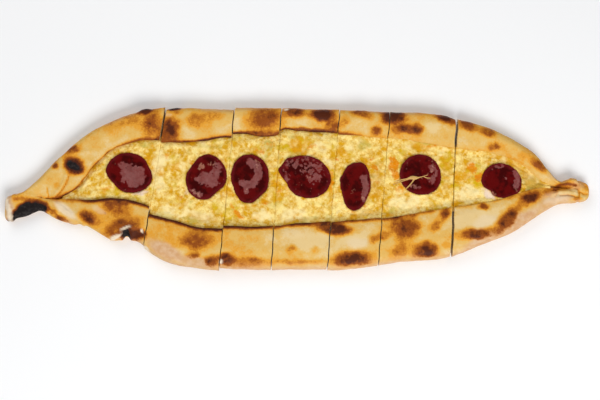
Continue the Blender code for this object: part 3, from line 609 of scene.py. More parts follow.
def cloud(points, size, seed):
    """Smooth random values from -1 to 1 at points, in bumps about as large as size."""
    points = np.atleast_2d(points) / size
    table = np.random.default_rng(seed).uniform(-1, 1, 8191)
    low = np.floor(points).astype(np.int64)
    part = points - low
    part = part * part * (3 - 2 * part)
    primes = np.array((73856093, 19349663, 83492791))[: points.shape[1]]
    total = np.zeros(len(points))
    for corner in np.ndindex(*(2,) * points.shape[1]):
        weight = np.prod(np.where(corner, part, 1 - part), axis=1)
        total += weight * table[np.abs(((low + corner) * primes).sum(1)) % 8191]
    return total


def rough(points, size, seed, octaves=3):
    """Clouds of halving size laid over each other, each turned so that no grid shows."""
    turned = np.array(points, float)
    total, weight, whole = 0, 1.0, 0
    for octave in range(octaves):
        angle = 0.65 + 1.1 * octave
        spin = np.array(((np.cos(angle), -np.sin(angle)), (np.sin(angle), np.cos(angle))))
        turned[:, :2] = turned[:, :2] @ spin
        total = total + weight * cloud(turned, size / 2**octave, seed + octave)
        whole += weight
        weight *= 0.55
    return 1.5 * total / whole


def turned(x, y, middle_x, middle_y, angle):
    """Where points lie along and across a direction through a middle."""
    along = (x - middle_x) * np.cos(angle) + (y - middle_y) * np.sin(angle)
    aside = (y - middle_y) * np.cos(angle) - (x - middle_x) * np.sin(angle)
    return along, aside


def reach(x, y, spot):
    """How far points are from a spot's middle, in its own half length and half width."""
    middle_x, middle_y, half_length, half_width, turn = spot[:5]
    along, aside = turned(x, y, middle_x, middle_y, np.radians(turn))
    return np.hypot(along / half_length, aside / half_width)


def patches(x, y, spots, soft=(1.35, 0.3)):
    """How strongly patches cover points: the strongest of them, each fading outwards."""
    total = np.zeros_like(x)
    for spot in spots:
        total = np.maximum(total, spot[5] * ease(*soft, reach(x, y, spot)))
    return total


def line_gap(x, y, path):
    """How far points are from a line through the path's corners."""
    near = np.full_like(x, 1e9)
    for (ax, ay), (bx, by) in zip(path, path[1:]):
        along = ((x - ax) * (bx - ax) + (y - ay) * (by - ay)) / ((bx - ax) ** 2 + (by - ay) ** 2)
        along = np.clip(along, 0, 1)
        near = np.minimum(near, np.hypot(x - ax - along * (bx - ax), y - ay - along * (by - ay)))
    return near


def dense(path, steps):
    """A smooth line through the path's points, with so many steps between each two of them."""
    path = np.array(path)
    lengths = np.maximum(np.linalg.norm(np.diff(path, axis=0), axis=1), 1e-3)
    reached = np.concatenate(([0], np.cumsum(lengths)))
    parts = [np.linspace(a, b, n, endpoint=False) for a, b, n in zip(reached, reached[1:], steps)]
    where = np.concatenate((*parts, reached[-1:]))
    return np.column_stack([curve(list(zip(reached, column)))(where) for column in path.T])


def bread_outline(x, index):
    """The fine closed outline (y, z) of the bread at x."""
    sides = [dense(outer_path(f) + inner_path(f)[::-1], FOLD_STEPS) for f in folds(x, index)]
    base = np.linspace(sides[0][0], sides[1][0], BASE_STEPS + 1)[1:-1]
    middle = (sides[0][-1] + sides[1][-1]) / 2 - (0, FLOOR_SAG)
    return np.vstack((sides[0][::-1], base, sides[1], [middle]))


def outward(outlines):
    """Unit normals (y, z) of closed outlines that run with what they enclose on their left."""
    along = np.roll(outlines, -1, axis=1) - np.roll(outlines, 1, axis=1)
    along /= np.maximum(np.linalg.norm(along, axis=2, keepdims=True), 1e-6)
    return np.stack((along[..., 1], -along[..., 0]), axis=2)


def pressed(x):
    """1 where the seam is pressed shut, toward both tips of the boat, and 0 between."""
    return ease(-229, -239, x) + ease(243, 250, x)


def at_step(step):
    """Where a step of the lower and of the upper fold lies in a bread outline."""
    return LAST_STEP - step, LAST_STEP + BASE_STEPS + step


def close_tips(xs, outlines):
    """Outlines with the seam between the two folds pressed shut toward both tips."""
    lower, upper = at_step(TOP_STEP)
    count = outlines.shape[1]
    between = np.arange(upper, count + lower + 1) % count
    run = np.linspace(0, 1, len(between))[None, :, None]
    shut = mix(outlines[:, upper, None], outlines[:, lower, None], run)
    shut[..., 1] -= 0.5 * np.sin(np.pi * run[..., 0])
    outlines[:, between] = mix(outlines[:, between], shut, pressed(xs)[:, None, None])
    return outlines


def in_space(xs, outlines, start_opening, end_opening):
    """Outlines in space: their lines across the boat slant, and near a cut they stand back from the knife."""
    y = outlines[..., 0]
    share = (y - lower_edge(xs)[:, None]) / (upper_edge(xs) - lower_edge(xs))[:, None]
    near_start = np.clip(1 - (xs - xs[0]) / OPENING_FADE, 0, 1)[:, None]
    near_end = np.clip(1 - (xs[-1] - xs) / OPENING_FADE, 0, 1)[:, None]
    back = mix(*start_opening, share) * near_start + mix(*end_opening, share) * near_end
    back += CUT_WOBBLE * wander(1.7 * y, xs[0]) * near_start * (xs[0] > LEFT_TIP)
    back += CUT_WOBBLE * wander(1.7 * y, xs[-1]) * near_end * (xs[-1] < RIGHT_TIP)
    x = xs[:, None] + slant(xs)[:, None] * y + back
    return np.stack((x, y, outlines[..., 1]), axis=2)


def tip_rings(section, steps, direction):
    """Rings that close the boat's tip in a rounded end, from its last section outwards."""
    middle = (section.max(0) + section.min(0)) / 2
    return np.array([middle + (section - middle) * share + (direction * far, 0, 0) for share, far in steps])


def ring_masks():
    """For each point round an outline: how far it is skin, side, below, inside the fold, or past its top."""
    k = np.arange(LAST_STEP + 1)
    skin = ease(0, SIDE_STEP, k) * (1 - ease(LIP_STEP + 2, LIP_STEP + 8, k))
    side = 1 - ease(SIDE_STEP + 3, TOP_STEP - 3, k)
    below = 1 - ease(0, SIDE_STEP, k)
    inside = ease(LIP_STEP + 4, LIP_STEP + 10, k)
    within = ease(TOP_STEP, TOP_STEP + 4, k)
    masks = ((skin, 0), (side, 0), (below, 1), (inside, 0), (within, 0))
    return [np.concatenate((v[::-1], np.full(BASE_STEPS - 1, base), v, v[-1:])) for v, base in masks]


def lip_gap(grid):
    """How far each skin point is from its fold's lip, measured across the boat."""
    y = grid[..., 1]
    lower, upper = at_step(LIP_STEP)
    return np.minimum(np.abs(y - y[:, lower, None]), np.abs(y - y[:, upper, None]))


def crust_marks(grid, sizes):
    """What baking does to the bread: how far each point rises, and how brown, burnt and pale it is."""
    skin, side, below, inside, within = (np.broadcast_to(m, grid.shape[:2]).ravel() for m in ring_masks())
    flat = grid.reshape(-1, 3)
    x, y, z = flat.T
    skin = np.maximum(skin, within * pressed(x))
    high = mix(1, ease(2.5, 8.5, z + 1.5 * rough(flat, 6, 47)), side * ease(-232, -220, x))
    # Patches are looked up at shifted places, so that none has a smooth edge
    warp_x = x + 1.5 * rough(flat, 9, 11) + 0.5 * cloud(flat, 2.6, 12)
    warp_y = y + 1.5 * rough(flat, 9, 21) + 0.5 * cloud(flat, 2.6, 22)
    upper_side = ease(-1, 1, y - (upper_lip(x) + lower_lip(x)) / 2)
    # The lips' own browning ends where they meet in the pinched tips
    free = ease(-236, -224, x) * (1 - ease(238, 246, x))
    near_lip = free * ease(4.2, 0.4, lip_gap(grid).ravel() + 0.8 * rough(flat, 7, 31))
    near_lip *= 1 - 0.75 * upper_side * ease(60, 110, x)

    # How brown the crust is at large, and along the thin edge of each lip; at the lower lips that brown is
    # partly painted shade
    tone = 0.15 + 0.08 * upper_side + 0.12 * rough(flat, 26, 41) + 0.12 * rough(flat, 8, 42)
    tone += 0.05 * rough(flat, 3.4, 46)
    for field in GOLDEN_FIELDS:
        tone += field[5] * ease(1.6, 0.2, reach(warp_x, warp_y, field))
    tone += near_lip * (0.24 + 0.20 * rough(flat, 16, 43))
    tone += 0.12 * side * (1 - below) * (0.6 * upper_side + rough(flat, 14, 44))
    thin_lip = free * ease(mix(5.0, 2.2, upper_side), 0.5, lip_gap(grid).ravel() + 0.5 * rough(flat, 5, 45))
    # Along the lower lip of the first three slices the brown is partly browning of the thin edge and partly
    # painted shade in the gap under the lip
    lower_lip_brown_and_shade = 0.64 * ease(-20, -60, x) * ease(-205, -180, x) + 0.38 * ease(-60, -20, x) * ease(150, 70, x)
    upper_brown = 0.42 * ease(-150, -80, x) * ease(70, 24, x) + 0.24 * ease(-100, -160, x)
    tone += thin_lip * mix(lower_lip_brown_and_shade, upper_brown, upper_side)

    # How far it rises, with the browned spots and their blisters
    rise = sizes.swell / MM * rough(flat, 30, 51) + 0.22 * rough(flat, 9, 52) + 0.12 * cloud(flat, 2.6, 53)
    mottled = 1 + 0.22 * rough(flat, 4.5, 61)
    for spots, here in ((UPPER_SPOTS, upper_side), (LOWER_SPOTS, 1 - upper_side)):
        for spot in spots:
            cover = ease(1.8, 0.35, reach(warp_x, warp_y, spot)) * here * high
            tone = np.maximum(tone, mix(tone, spot[5] * mottled, cover))
            rise += sizes.blister / MM * spot[6] * ease(1.3, 0.2, reach(x, y, spot)) * here

    # Creases and ridges, with a brown along the creases that is partly painted shade, and the hollows of the
    # torn blister
    for path, width, height, brown in CREASES:
        gap = line_gap(x, y, path)
        rise += height * np.exp(-((gap / width) ** 2))
        # The creases' brown: partly browning of the fold, partly painted shade in the crease
        tone = np.maximum(tone, mix(tone, brown, np.exp(-((gap / (0.8 * width)) ** 2))))
    for hollow in HOLLOWS:
        rise -= hollow[4] * ease(1.2, 0.5, np.hypot((x - hollow[0]) / hollow[2], (y - hollow[1]) / hollow[3]))

    # Charred, torn, steamed and floured dough
    burnt = np.zeros_like(x)
    for path, width, strength in CHARRED:
        gap = line_gap(warp_x, warp_y, path)
        burnt = np.maximum(burnt, strength * ease(1.25 * width, 0.35 * width, gap) * high) * skin
        tone = np.maximum(tone, mix(tone, 0.95, ease(1.7 * width, 0.6 * width, gap) * skin * high))
    burnt *= 1 - np.clip(2 * patches(warp_x, warp_y, PALE_DOUGH, (1.2, 0.7)), 0, 1)
    pale = patches(warp_x, warp_y, PALE_DOUGH, (1.2, 0.5)) * high
    steamed = patches(warp_x, warp_y, PALE_SIDES, (1.3, 0.55)) * skin
    steamed = np.maximum(steamed, 0.9 * side * ease(-20, 20, -y) * ease(-150, -128, x))
    steamed = np.maximum(steamed, 0.7 * side * ease(0.1, -0.3, rough(flat, 20, 73)))
    flour = below * (0.55 + 0.5 * rough(flat, 12, 71))
    tone = mix(tone, 0.30 + 0.30 * rough(flat, 13, 72), below)
    return rise * skin, {
        "bake": np.clip(tone, 0, 1.3),
        "burnt": burnt,
        "pale": np.clip(np.maximum(pale * skin, flour * 0.7), 0, 1),
        "side": np.clip(steamed * (1 - below), 0, 1),
        "crumb": inside * openness(x),
    }


def cut_steps(corners):
    """Steps of a fold, evenly spread from each of its control points to the next in the list."""
    steps = np.concatenate(([0], np.cumsum(FOLD_STEPS)))[list(corners)]
    return np.concatenate([np.linspace(a, b, CUT_ROWS, endpoint=False) for a, b in zip(steps, steps[1:])])


def along_line(points, known, wanted):
    """Points on the line through others, of which it is known where along it they lie."""
    return np.column_stack([np.interp(wanted, known, column) for column in points.T])


def cut_face(outline, normal_x, seed):
    """A cut face as a grid between the bread's outside and its cavity, with the open crumb of baked dough."""
    steps = np.arange(len(outline))
    lower_outer, upper_outer = at_step(cut_steps(CUT_OUTSIDE))
    lower_inner, upper_inner = at_step(cut_steps(CUT_INSIDE))
    base = np.linspace(*at_step(0), CUT_BASE_ROWS)
    floor_ends = outline[[0, -1, at_step(LAST_STEP)[1]]]
    floor = along_line(floor_ends, (0, 0.5, 1), np.linspace(0, 1, CUT_BASE_ROWS))
    outer_steps = np.concatenate((lower_outer, base, upper_outer[::-1]))
    outer_line = along_line(outline, steps, outer_steps)
    inner_lower, inner_upper = (along_line(outline, steps, line) for line in (lower_inner, upper_inner[::-1]))
    inner_line = np.vstack((inner_lower, floor, inner_upper))
    share = np.linspace(0, 1, CUT_COLUMNS)[None, :, None]
    face = mix(outer_line[:, None], inner_line[:, None], share)
    flat = face.reshape(-1, 3)
    share = np.broadcast_to(share[..., 0], face.shape[:2]).ravel()
    rim = np.minimum(share, 1 - share) * 2
    holes = np.clip(rough(flat[:, 1:], CRUMB_HOLE_SIZE, seed) - 0.1, 0, 1) * ease(0.05, 0.5, rim)
    flat = flat - np.column_stack((normal_x * CRUMB_HOLE_DEPTH * holes, 0 * holes, 0 * holes))
    near_skin = 1 - ease(0.0, 0.22, share)
    marks = {"bake": 0.25 + 0.45 * near_skin, "burnt": 0, "pale": 0, "side": 0, "crumb": 1 - 0.8 * near_skin}
    return flat.reshape(face.shape), marks


def grid_faces(rows, columns, start, closed, flip):
    """Quads of a grid of points, joined round if it is closed."""
    last = columns if closed else columns - 1
    row, column = np.meshgrid(np.arange(rows - 1), np.arange(last), indexing="ij")
    here, beside = row * columns + column, row * columns + (column + 1) % columns
    quads = np.stack((here, beside, beside + columns, here + columns), axis=-1).reshape(-1, 4) + start
    return quads[:, ::-1] if flip else quads


def skin_object(name, grids, look, node):
    """One object out of grids in millimetres: each is points, marks, closed, flip, and the ends to fill."""
    points, faces, marks, start = [], [], {}, 0
    for grid, values, closed, flip, fill in grids:
        rows, columns = grid.shape[:2]
        points.append(grid.reshape(-1, 3) * MM)
        faces += grid_faces(rows, columns, start, closed, flip).tolist()
        if "first" in fill:
            ring = list(range(start, start + columns))
            faces.append(ring if flip else ring[::-1])
        if "last" in fill:
            ring = list(range(start + (rows - 1) * columns, start + rows * columns))
            faces.append(ring[::-1] if flip else ring)
        for key, value in values.items():
            marks.setdefault(key, []).append(np.broadcast_to(np.ravel(value), (rows * columns,)))
        start += rows * columns
    mesh = bpy.data.meshes.new(name)
    mesh.from_pydata(np.vstack(points), [], faces)
    for key, values in marks.items():
        layer = mesh.attributes.new(key, "FLOAT", "POINT")
        layer.data.foreach_set("value", np.concatenate(values).astype(np.float32))
    mesh.validate()
    mesh.shade_smooth()
    mesh.materials.append(look)
    made = bpy.data.objects.new(name, mesh)
    bpy.context.scene.collection.objects.link(made)
    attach(made, "root")
    if node:
        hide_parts(node)
    return made


def make_bread(index, look, sizes):
    """One slice's bread: its baked skin, and a cut face at each end that has one."""
    start, start_opening, end, end_opening = slice_ends(index)
    first, last = index == 0, index == len(CUTS)
    steps = max(8, round((end - start) / (sizes.grain / MM)))
    xs = np.linspace(start, end, steps + 1)
    outlines = close_tips(xs, np.array([bread_outline(x, index) for x in xs]))
    grid = in_space(xs, outlines, start_opening, end_opening)
    before = tip_rings(grid[0], LEFT_TIP_RINGS if first else (), -1)[::-1].reshape(-1, *grid.shape[1:])
    after = tip_rings(grid[-1], RIGHT_TIP_RINGS if last else (), 1).reshape(-1, *grid.shape[1:])
    grid = np.concatenate((before, grid, after))
    normals = np.pad(outward(outlines), ((len(before), len(after)), (0, 0), (0, 0)), mode="edge")
    rise, marks = crust_marks(grid, sizes)
    grid[..., 1:] += rise.reshape(*grid.shape[:2], 1) * normals
    grid[..., 2] = np.maximum(grid[..., 2], 0)
    filled = ("first",) if first else ("last",) if last else ()
    grids = [(grid, marks, True, False, filled)]
    if not first:
        grids.append((*cut_face(grid[0], -1, 100 + index), False, False, ()))
    if not last:
        grids.append((*cut_face(grid[-1], 1, 200 + index), False, True, ()))
    return skin_object(f"crust_{index + 1}", grids, look, f"bread_{index + 1}")


def round_radius(index, heading):
    """How far a round's ragged edge is from its middle in the given headings."""
    _, _, half_length, half_width, turn, uneven = ROUNDS[index]
    t = heading - np.radians(turn)
    radius = 1 / np.hypot(np.cos(t) / half_length, np.sin(t) / half_width)
    for middle, spread, out in uneven:
        away = np.mod(np.degrees(heading) - middle + 180, 360) - 180
        radius = radius + out * np.exp(-((away / spread) ** 2))
    ragged = 0.10 * np.sin(13 * heading + index) + 0.07 * np.sin(23 * heading + 2 * index)
    return radius + ragged + 0.05 * np.sin(41 * heading)


def round_gap(x, y, index):
    """How far points are outside a round's edge; less than 0 within it."""
    dx, dy = x - ROUNDS[index][0], y - ROUNDS[index][1]
    return np.hypot(dx, dy) - round_radius(index, np.arctan2(dy, dx))


def strands(x, y, index, count):
    """The height of the melted strands of grated cheese, from 0 to 1."""
    dice = np.random.default_rng(500 + index)
    height = np.zeros_like(x)
    for _ in range(count):
        cx, cy = dice.uniform(x.min(), x.max()), dice.uniform(y.min(), y.max())
        angle, half, width = dice.uniform(0, np.pi), dice.uniform(2.0, 5.5), dice.uniform(0.8, 1.5)
        tall, bend = dice.uniform(0.4, 1.0), dice.uniform(-0.12, 0.12)
        along, aside = turned(x, y, cx, cy, angle)
        gap = np.hypot(np.maximum(np.abs(along) - half, 0), aside + bend * along * along / half)
        height = np.maximum(height, tall * ease(width * 1.5, 0, gap))
    return height


def pits(x, y, index, count):
    """Small burst bubbles in the cheese, as a depth from 0 to 1."""
    dice = np.random.default_rng(600 + index)
    depth = np.zeros_like(x)
    for _ in range(count):
        cx, cy, size = dice.uniform(x.min(), x.max()), dice.uniform(y.min(), y.max()), dice.uniform(0.7, 1.9)
        depth = np.maximum(depth, dice.uniform(0.4, 1) * ease(size, 0.2 * size, np.hypot(x - cx, y - cy)))
    return depth


def cheese_heights(grid, gaps, unders, levels, index, sizes):
    """The melted top of one slice's cheese, and the marks that colour it."""
    x, y = grid[..., 0].ravel(), grid[..., 1].ravel()
    flat = np.column_stack((x, y))
    area = (x.max() - x.min()) * (y.max() - y.min())
    raised = strands(x, y, index, int(area / STRAND_AREA))
    burst = pits(x, y, index, int(area / PIT_AREA))

    # The melted body sinks to its shore under the lips, and climbs up some stretches of them
    body = levels + LUMP_HEIGHT * lumps(x, y) + 0.4 * rough(flat, 13, 81)
    height = mix(unders - SHORE_DROP, body, ease(0, SHORE_WIDTH, gaps))
    height = height + sizes.strand / MM * (raised - 0.35) + 0.50 * rough(flat, 4.2, 82) - 0.55 * burst
    climb = ease(20, 60, x) * ease(-10, 10, y) + 0.6 * ease(-50, 0, x) * ease(10, -10, y)
    climb = climb * (0.80 + 0.3 * rough(flat, 12, 87))
    height = height + climb * np.maximum(unders + 2.2 - height, 0) * ease(4.8, 0.2, gaps)

    # The rounds' seats, and the swell of cheese round each of them
    hug = np.full_like(x, 99.0)
    for k in range(len(ROUNDS)):
        gap = round_gap(x, y, k)
        hug = np.minimum(hug, gap)
        height = mix(height, CHEESE_SEAT, ease(0.1, -0.8, gap))
    height = height + 0.85 * np.exp(-(((hug - 0.7) / 1.5) ** 2)) * (0.8 + 0.5 * rough(flat, 6, 83))
    height = mix(height, unders - SHORE_DROP - 0.5, ease(0, -SHORE_REACH, gaps))

    # The colours, looked up at shifted places
    warp_x, warp_y = x + 1.6 * rough(flat, 6, 84), y + 1.6 * rough(flat, 6, 85)
    near_round = np.exp(-np.maximum(hug, 0) / 3.5) * ease(-0.15, 0.4, rough(flat, 9, 86))
    small = rough(flat, 3.6, 88)
    yellow = patches(warp_x, warp_y, YELLOW_STAINS) + 0.60 * rough(flat, 10, 89)
    yellow = yellow + 0.40 * small + 0.45 * near_round
    pale = patches(warp_x, warp_y, CREAM_ZONES) + 0.60 * rough(flat, 12, 92) - 0.40 * small
    green = patches(warp_x, warp_y, GREEN_SHADES) + 0.50 * rough(flat, 12, 95) + 0.30 * rough(flat, 4, 96)
    stained = patches(warp_x, warp_y, ORANGE_STAINS) + 0.30 * rough(flat, 2.6, 98) + 0.38 * near_round
    dull = patches(warp_x, warp_y, DULL_ZONES) * (0.9 + 0.6 * small)
    return height, {
        "strand": raised,
        "pit": burst,
        "orange": ease(0.20, 0.72, stained),
        "butter": ease(0.10, 0.80, yellow),
        "cream": ease(0.20, 0.95, pale),
        "shade": ease(0.25, 0.95, green),
        "grease": patches(warp_x, warp_y, GREASE, (1.2, 0.5)),
        # depth: painted shade beside the rounds and under the lips, less where the cheese climbs, plus the
        # darker dull patches
        "depth": 0.5 * ease(1.4, 0.0, hug) + ease(2.0, 0.0, gaps) * (1 - 0.8 * climb) + dull,
    }


def cheese_sections(xs, index):
    """For the sections of a slice's cheese: its columns' y, the lips and levels there, and the floors."""
    ys, unders, levels, floors = [], [], [], []
    for x in xs:
        lower, upper = folds(x, index)
        lips = [f["edge"] + f["inward"] * f["width"] for f in (lower, upper)]
        ys.append(np.linspace(lips[0] - SHORE_REACH, lips[1] + SHORE_REACH, CHEESE_COLUMNS))
        near_lower = ys[-1] < sum(lips) / 2
        unders.append(np.where(near_lower, lower["under_lip"], upper["under_lip"]))
        level = min(CHEESE_LEVEL, min(lower["lip"], upper["lip"]) - CHEESE_BELOW_LIP)
        levels.append(np.full(CHEESE_COLUMNS, level))
        floors.append((lower["floor"] + upper["floor"]) / 2)
    return np.array(ys), np.ravel(unders), np.ravel(levels), np.array(floors)


def make_cheese(index, look, sizes):
    """One slice's melted cheese, running in under both lips and cut with its slice."""
    start, _, end, _ = slice_ends(index)
    start, end = max(start, CHEESE_FROM), min(end, CHEESE_TO)
    steps = max(8, round((end - start) / (sizes.cheese_grain / MM)))
    xs = np.linspace(start, end, steps + 1)
    ys, unders, levels, floors = cheese_sections(xs, index)
    half = (ys[:, -1:] - ys[:, :1]) / 2
    gaps = (half - np.abs(ys - (ys[:, -1:] + ys[:, :1]) / 2) - SHORE_REACH).ravel()
    opening = [(0.0, 0.0), (0.0, 0.0)]
    from_cut = np.ones(len(xs))
    if index > 0:
        opening[0] = tuple(gap / 2 for gap in CHEESE_GAPS[index - 1])
        from_cut = np.minimum(from_cut, (xs - xs[0]) / CHEESE_EDGE_RUN)
    if index < len(CUTS):
        opening[1] = tuple(-gap / 2 for gap in CHEESE_GAPS[index])
        from_cut = np.minimum(from_cut, (xs[-1] - xs) / CHEESE_EDGE_RUN)
    grid = in_space(xs, np.stack((ys, 0 * ys), axis=2), *opening)
    height, marks = cheese_heights(grid, gaps, unders, levels, index, sizes)
    grid[..., 2] = height.reshape(ys.shape)
    grid[..., 2] -= (CHEESE_EDGE_DROP * (1 - np.sqrt(1 - (1 - from_cut) ** 2)))[:, None]
    bottom = grid.copy()
    bottom[..., 2] = (floors + CHEESE_ABOVE_FLOOR)[:, None]
    bottom = bottom[:, ::-CHEESE_STRIDE]
    walls = [mix(grid[:, -1], bottom[:, 0], 0.5)[:, None], mix(bottom[:, -1], grid[:, 0], 0.5)[:, None]]
    ring = np.concatenate((grid, walls[0], bottom, walls[1]), axis=1)
    extra = ((0, 0), (0, ring.shape[1] - CHEESE_COLUMNS))
    marks = {key: np.pad(value.reshape(ys.shape), extra) for key, value in marks.items()}
    # The cheese's walls and underside take the dip colour in full: painted shade under the cheese
    marks["depth"][:, CHEESE_COLUMNS:] = 1
    grids = [(ring, marks, True, True, ("first", "last"))]
    return skin_object(f"melted_cheese_{index + 1}", grids, look, f"cheese_{index + 1}")


def round_height(x, y, share, index):
    """The top of a sausage round: dished by the heat, tilted, dented and wrinkled."""
    cx, cy, half_length, half_width = ROUNDS[index][:4]
    lean_x, lean_y, dish, wrinkled = ROUND_LIES[index]
    flat = np.column_stack((x, y))
    top = CHEESE_LEVEL - ROUND_SUNK + ROUND_THICKNESS
    height = top + ROUND_RIM_LIFT * dish * (share**2.2 - 0.15) - 0.1
    height = height + lean_x * (x - cx) / half_length + lean_y * (y - cy) / half_width
    height = height + wrinkled * (0.16 * rough(flat, 6.5, 300 + index) + 0.05 * cloud(flat, 1.7, 320 + index))
    height = height + 0.25 * rough(flat, 15, 340 + index)
    for number, dx, dy, size, depth in ROUND_DENTS:
        if number == index:
            height = height - depth * ease(size, 0.1 * size, np.hypot(x - dx, y - dy))
    return height


def fat_and_glint_marks(flat, index):
    """Where bits of pale fat, and some painted glints, show on a round."""
    ragged = patches(flat[:, 0], flat[:, 1], FAT_AND_GLINTS, (1.6, 0.2)) + 0.45 * rough(flat, 1.5, 420 + index, 2)
    return ease(0.40, 0.70, ragged)


def wet_and_sheen_marks(flat, index):
    """How far points of a round lie under a film of fat, in patches with ragged edges; these patches take a
    coat and a painted sheen.
    """
    x, y = flat[:, 0], flat[:, 1]
    wrinkled = ROUND_LIES[index][3]
    wet = np.zeros_like(x)
    for path, width, strength in WET_AND_SHEEN:
        wet = np.maximum(wet, strength * ease(1.75 * width, 0.5 * width, line_gap(x, y, path)))
    wet = wet + (0.20 + 0.26 * wrinkled) * rough(flat, 1.9, 400 + index, 2)
    return ease(0.44, 0.60, wet + 0.16 * rough(flat, 6, 410 + index))


def make_round(index, look):
    """One sausage round, cupped, with a thin darker rim and a greasy top that carries a painted sheen."""
    middle_x, middle_y = ROUNDS[index][:2]
    heading = np.arange(ROUND_POINTS) * 2 * np.pi / ROUND_POINTS
    radius = round_radius(index, heading)
    ones = np.ones(ROUND_POINTS)

    def ring(share):
        return middle_x + share * radius * np.cos(heading), middle_y + share * radius * np.sin(heading)

    rim = round_height(*ring(1.0), ones, index)
    rings = [(share, 1.0, ROUND_SEAT + up) for share, up in ROUND_UNDERSIDE]
    rings += [(share, 1.0, rim - drop) for share, drop in ROUND_SIDE]
    for share in ROUND_TOP:
        height = round_height(*ring(share), share * ones, index)
        rings.append((share, share, height - 0.12 * ease(0.955, 1.0, share)))
    grid = np.array([np.column_stack((*ring(share), z * ones)) for share, _, z in rings])
    flat = grid.reshape(-1, 3)
    outwards = np.repeat([marked for _, marked, _ in rings], ROUND_POINTS)
    on_top = outwards < 0.985
    marks = {
        "rim": ease(0.78, 1.0, outwards + 0.06 * rough(flat, 6, 360 + index)),
        "wet": wet_and_sheen_marks(flat, index) * on_top,
        "fat": fat_and_glint_marks(flat, index) * on_top,
    }
    grids = [(grid, marks, True, False, ("first", "last"))]
    return skin_object(f"sausage_round_{index + 1}", grids, look, f"sausage_{index + 1}")


def top_of_round(x, y):
    """The height of whichever round lies under a point, or of the cheese beside it."""
    height = np.full_like(x, CHEESE_LEVEL + 0.35)
    for k, entry in enumerate(ROUNDS):
        gap = round_gap(x, y, k)
        radius = round_radius(k, np.arctan2(y - entry[1], x - entry[0]))
        share = np.clip(1 + gap / radius, 0, 1)
        height = np.where(gap < 0.6, np.maximum(height, round_height(x, y, share, k)), height)
    return height


def make_threads(look):
    """Threads of melted cheese lying over the sixth round."""
    grids = []
    heading = np.arange(THREAD_POINTS) * 2 * np.pi / THREAD_POINTS
    for thread in THREADS:
        line = dense(thread, (THREAD_STEPS,) * (len(thread) - 1))
        along = np.gradient(line[:, :2], axis=0)
        along /= np.linalg.norm(along, axis=1, keepdims=True)
        x, y, half = (column[:, None] for column in line.T)
        z = top_of_round(line[:, 0], line[:, 1])[:, None] + THREAD_LIFT * half
        side = np.cos(heading) * half
        up = np.sin(heading) * THREAD_FLATNESS * half
        grid = np.stack((x - along[:, 1:] * side, y + along[:, :1] * side, z + up), axis=2)
        grids.append((grid, THREAD_MARKS, True, True, ("first", "last")))
    return skin_object("cheese_threads", grids, look, None)


class Value:
    """A shader socket, on which arithmetic adds the Math nodes it needs."""

    def __init__(self, graph, socket):
        self.graph, self.socket = graph, socket

    def math(self, operation, *values, clamp=False):
        settings = {"operation": operation, "use_clamp": clamp}
        return self.graph.node("ShaderNodeMath", settings, dict(enumerate((self, *values))))

    def __add__(self, other):
        return self.math("ADD", other)

    def __sub__(self, other):
        return self.math("SUBTRACT", other)

    def __rsub__(self, other):
        return self.graph.node("ShaderNodeMath", {"operation": "SUBTRACT"}, {0: other, 1: self})

    def __mul__(self, other):
        return self.math("MULTIPLY", other)

    def clamped(self):
        return self.math("ADD", 0.0, clamp=True)

    def above(self, low, high):
        """0 up to low, 1 from high on, and a smooth rise between them."""
        settings = {"interpolation_type": "SMOOTHSTEP"}
        sockets = {"Value": self, "From Min": low, "From Max": high}
        return self.graph.node("ShaderNodeMapRange", settings, sockets)

    __radd__ = __add__
    __rmul__ = __mul__


class Graph:
    """The nodes of one material, around its Principled shader."""

    def __init__(self, name, **uniform):
        self.material = bpy.data.materials.new(name)
        self.material.use_nodes = True
        self.tree = self.material.node_tree
        self.shader = self.tree.nodes["Principled BSDF"]
        for socket, value in uniform.items():
            self.shader.inputs[socket.replace("_", " ")].default_value = value

    def node(self, kind, settings=None, sockets=None, out=0):
        """Adds a node: its settings first, then the value or link of each socket."""
        made = self.tree.nodes.new(kind)
        for key, value in (settings or {}).items():
            if key == "stops":
                self.set_stops(made.color_ramp, value)
            else:
                setattr(made, key, value)
        for key, value in (sockets or {}).items():
            self.feed(made.inputs[key], value)
        return Value(self, made.outputs[out])

    @staticmethod
    def set_stops(ramp, stops):
        ramp.interpolation = "EASE"
        while len(ramp.elements) < len(stops):
            ramp.elements.new(0.5)
        for element, (position, colour) in zip(ramp.elements, stops):
            element.position = position
            element.color = (*colour, 1)

    def feed(self, socket, value):
        if isinstance(value, Value):
            self.tree.links.new(value.socket, socket)
        elif hasattr(value, "__len__") and len(value) == 3 and len(socket.default_value) == 4:
            socket.default_value = (*value, 1)
        else:
            socket.default_value = value

    def mark(self, name):
        """The mesh's own mark of that name."""
        return self.node("ShaderNodeAttribute", {"attribute_name": name}, out="Fac")

    def noise(self, size, detail=3.0):
        """Random values from 0 to 1, in bumps about as many metres across as size."""
        place = self.node("ShaderNodeTexCoord", out="Object")
        sockets = {"Vector": place, "Scale": 1 / size, "Detail": detail, "Roughness": 0.55}
        return self.node("ShaderNodeTexNoise", None, sockets, out="Fac")

    def blend(self, share, a, b):
        """The colour a, turning into b as share goes from 0 to 1."""
        return self.node("ShaderNodeMix", {"data_type": "RGBA"}, {0: share, 6: a, 7: b}, out=2)

    def bump(self, height, depth):
        """A normal that follows height times depth in metres."""
        sockets = {"Height": height, "Distance": depth, "Strength": 1.0}
        self.feed(self.shader.inputs["Normal"], self.node("ShaderNodeBump", None, sockets))

    def finish(self, colour, roughness, **others):
        self.feed(self.shader.inputs["Base Color"], colour)
        self.feed(self.shader.inputs["Roughness"], roughness)
        for socket, value in others.items():
            self.feed(self.shader.inputs[socket.replace("_", " ")], value)
        return self.material


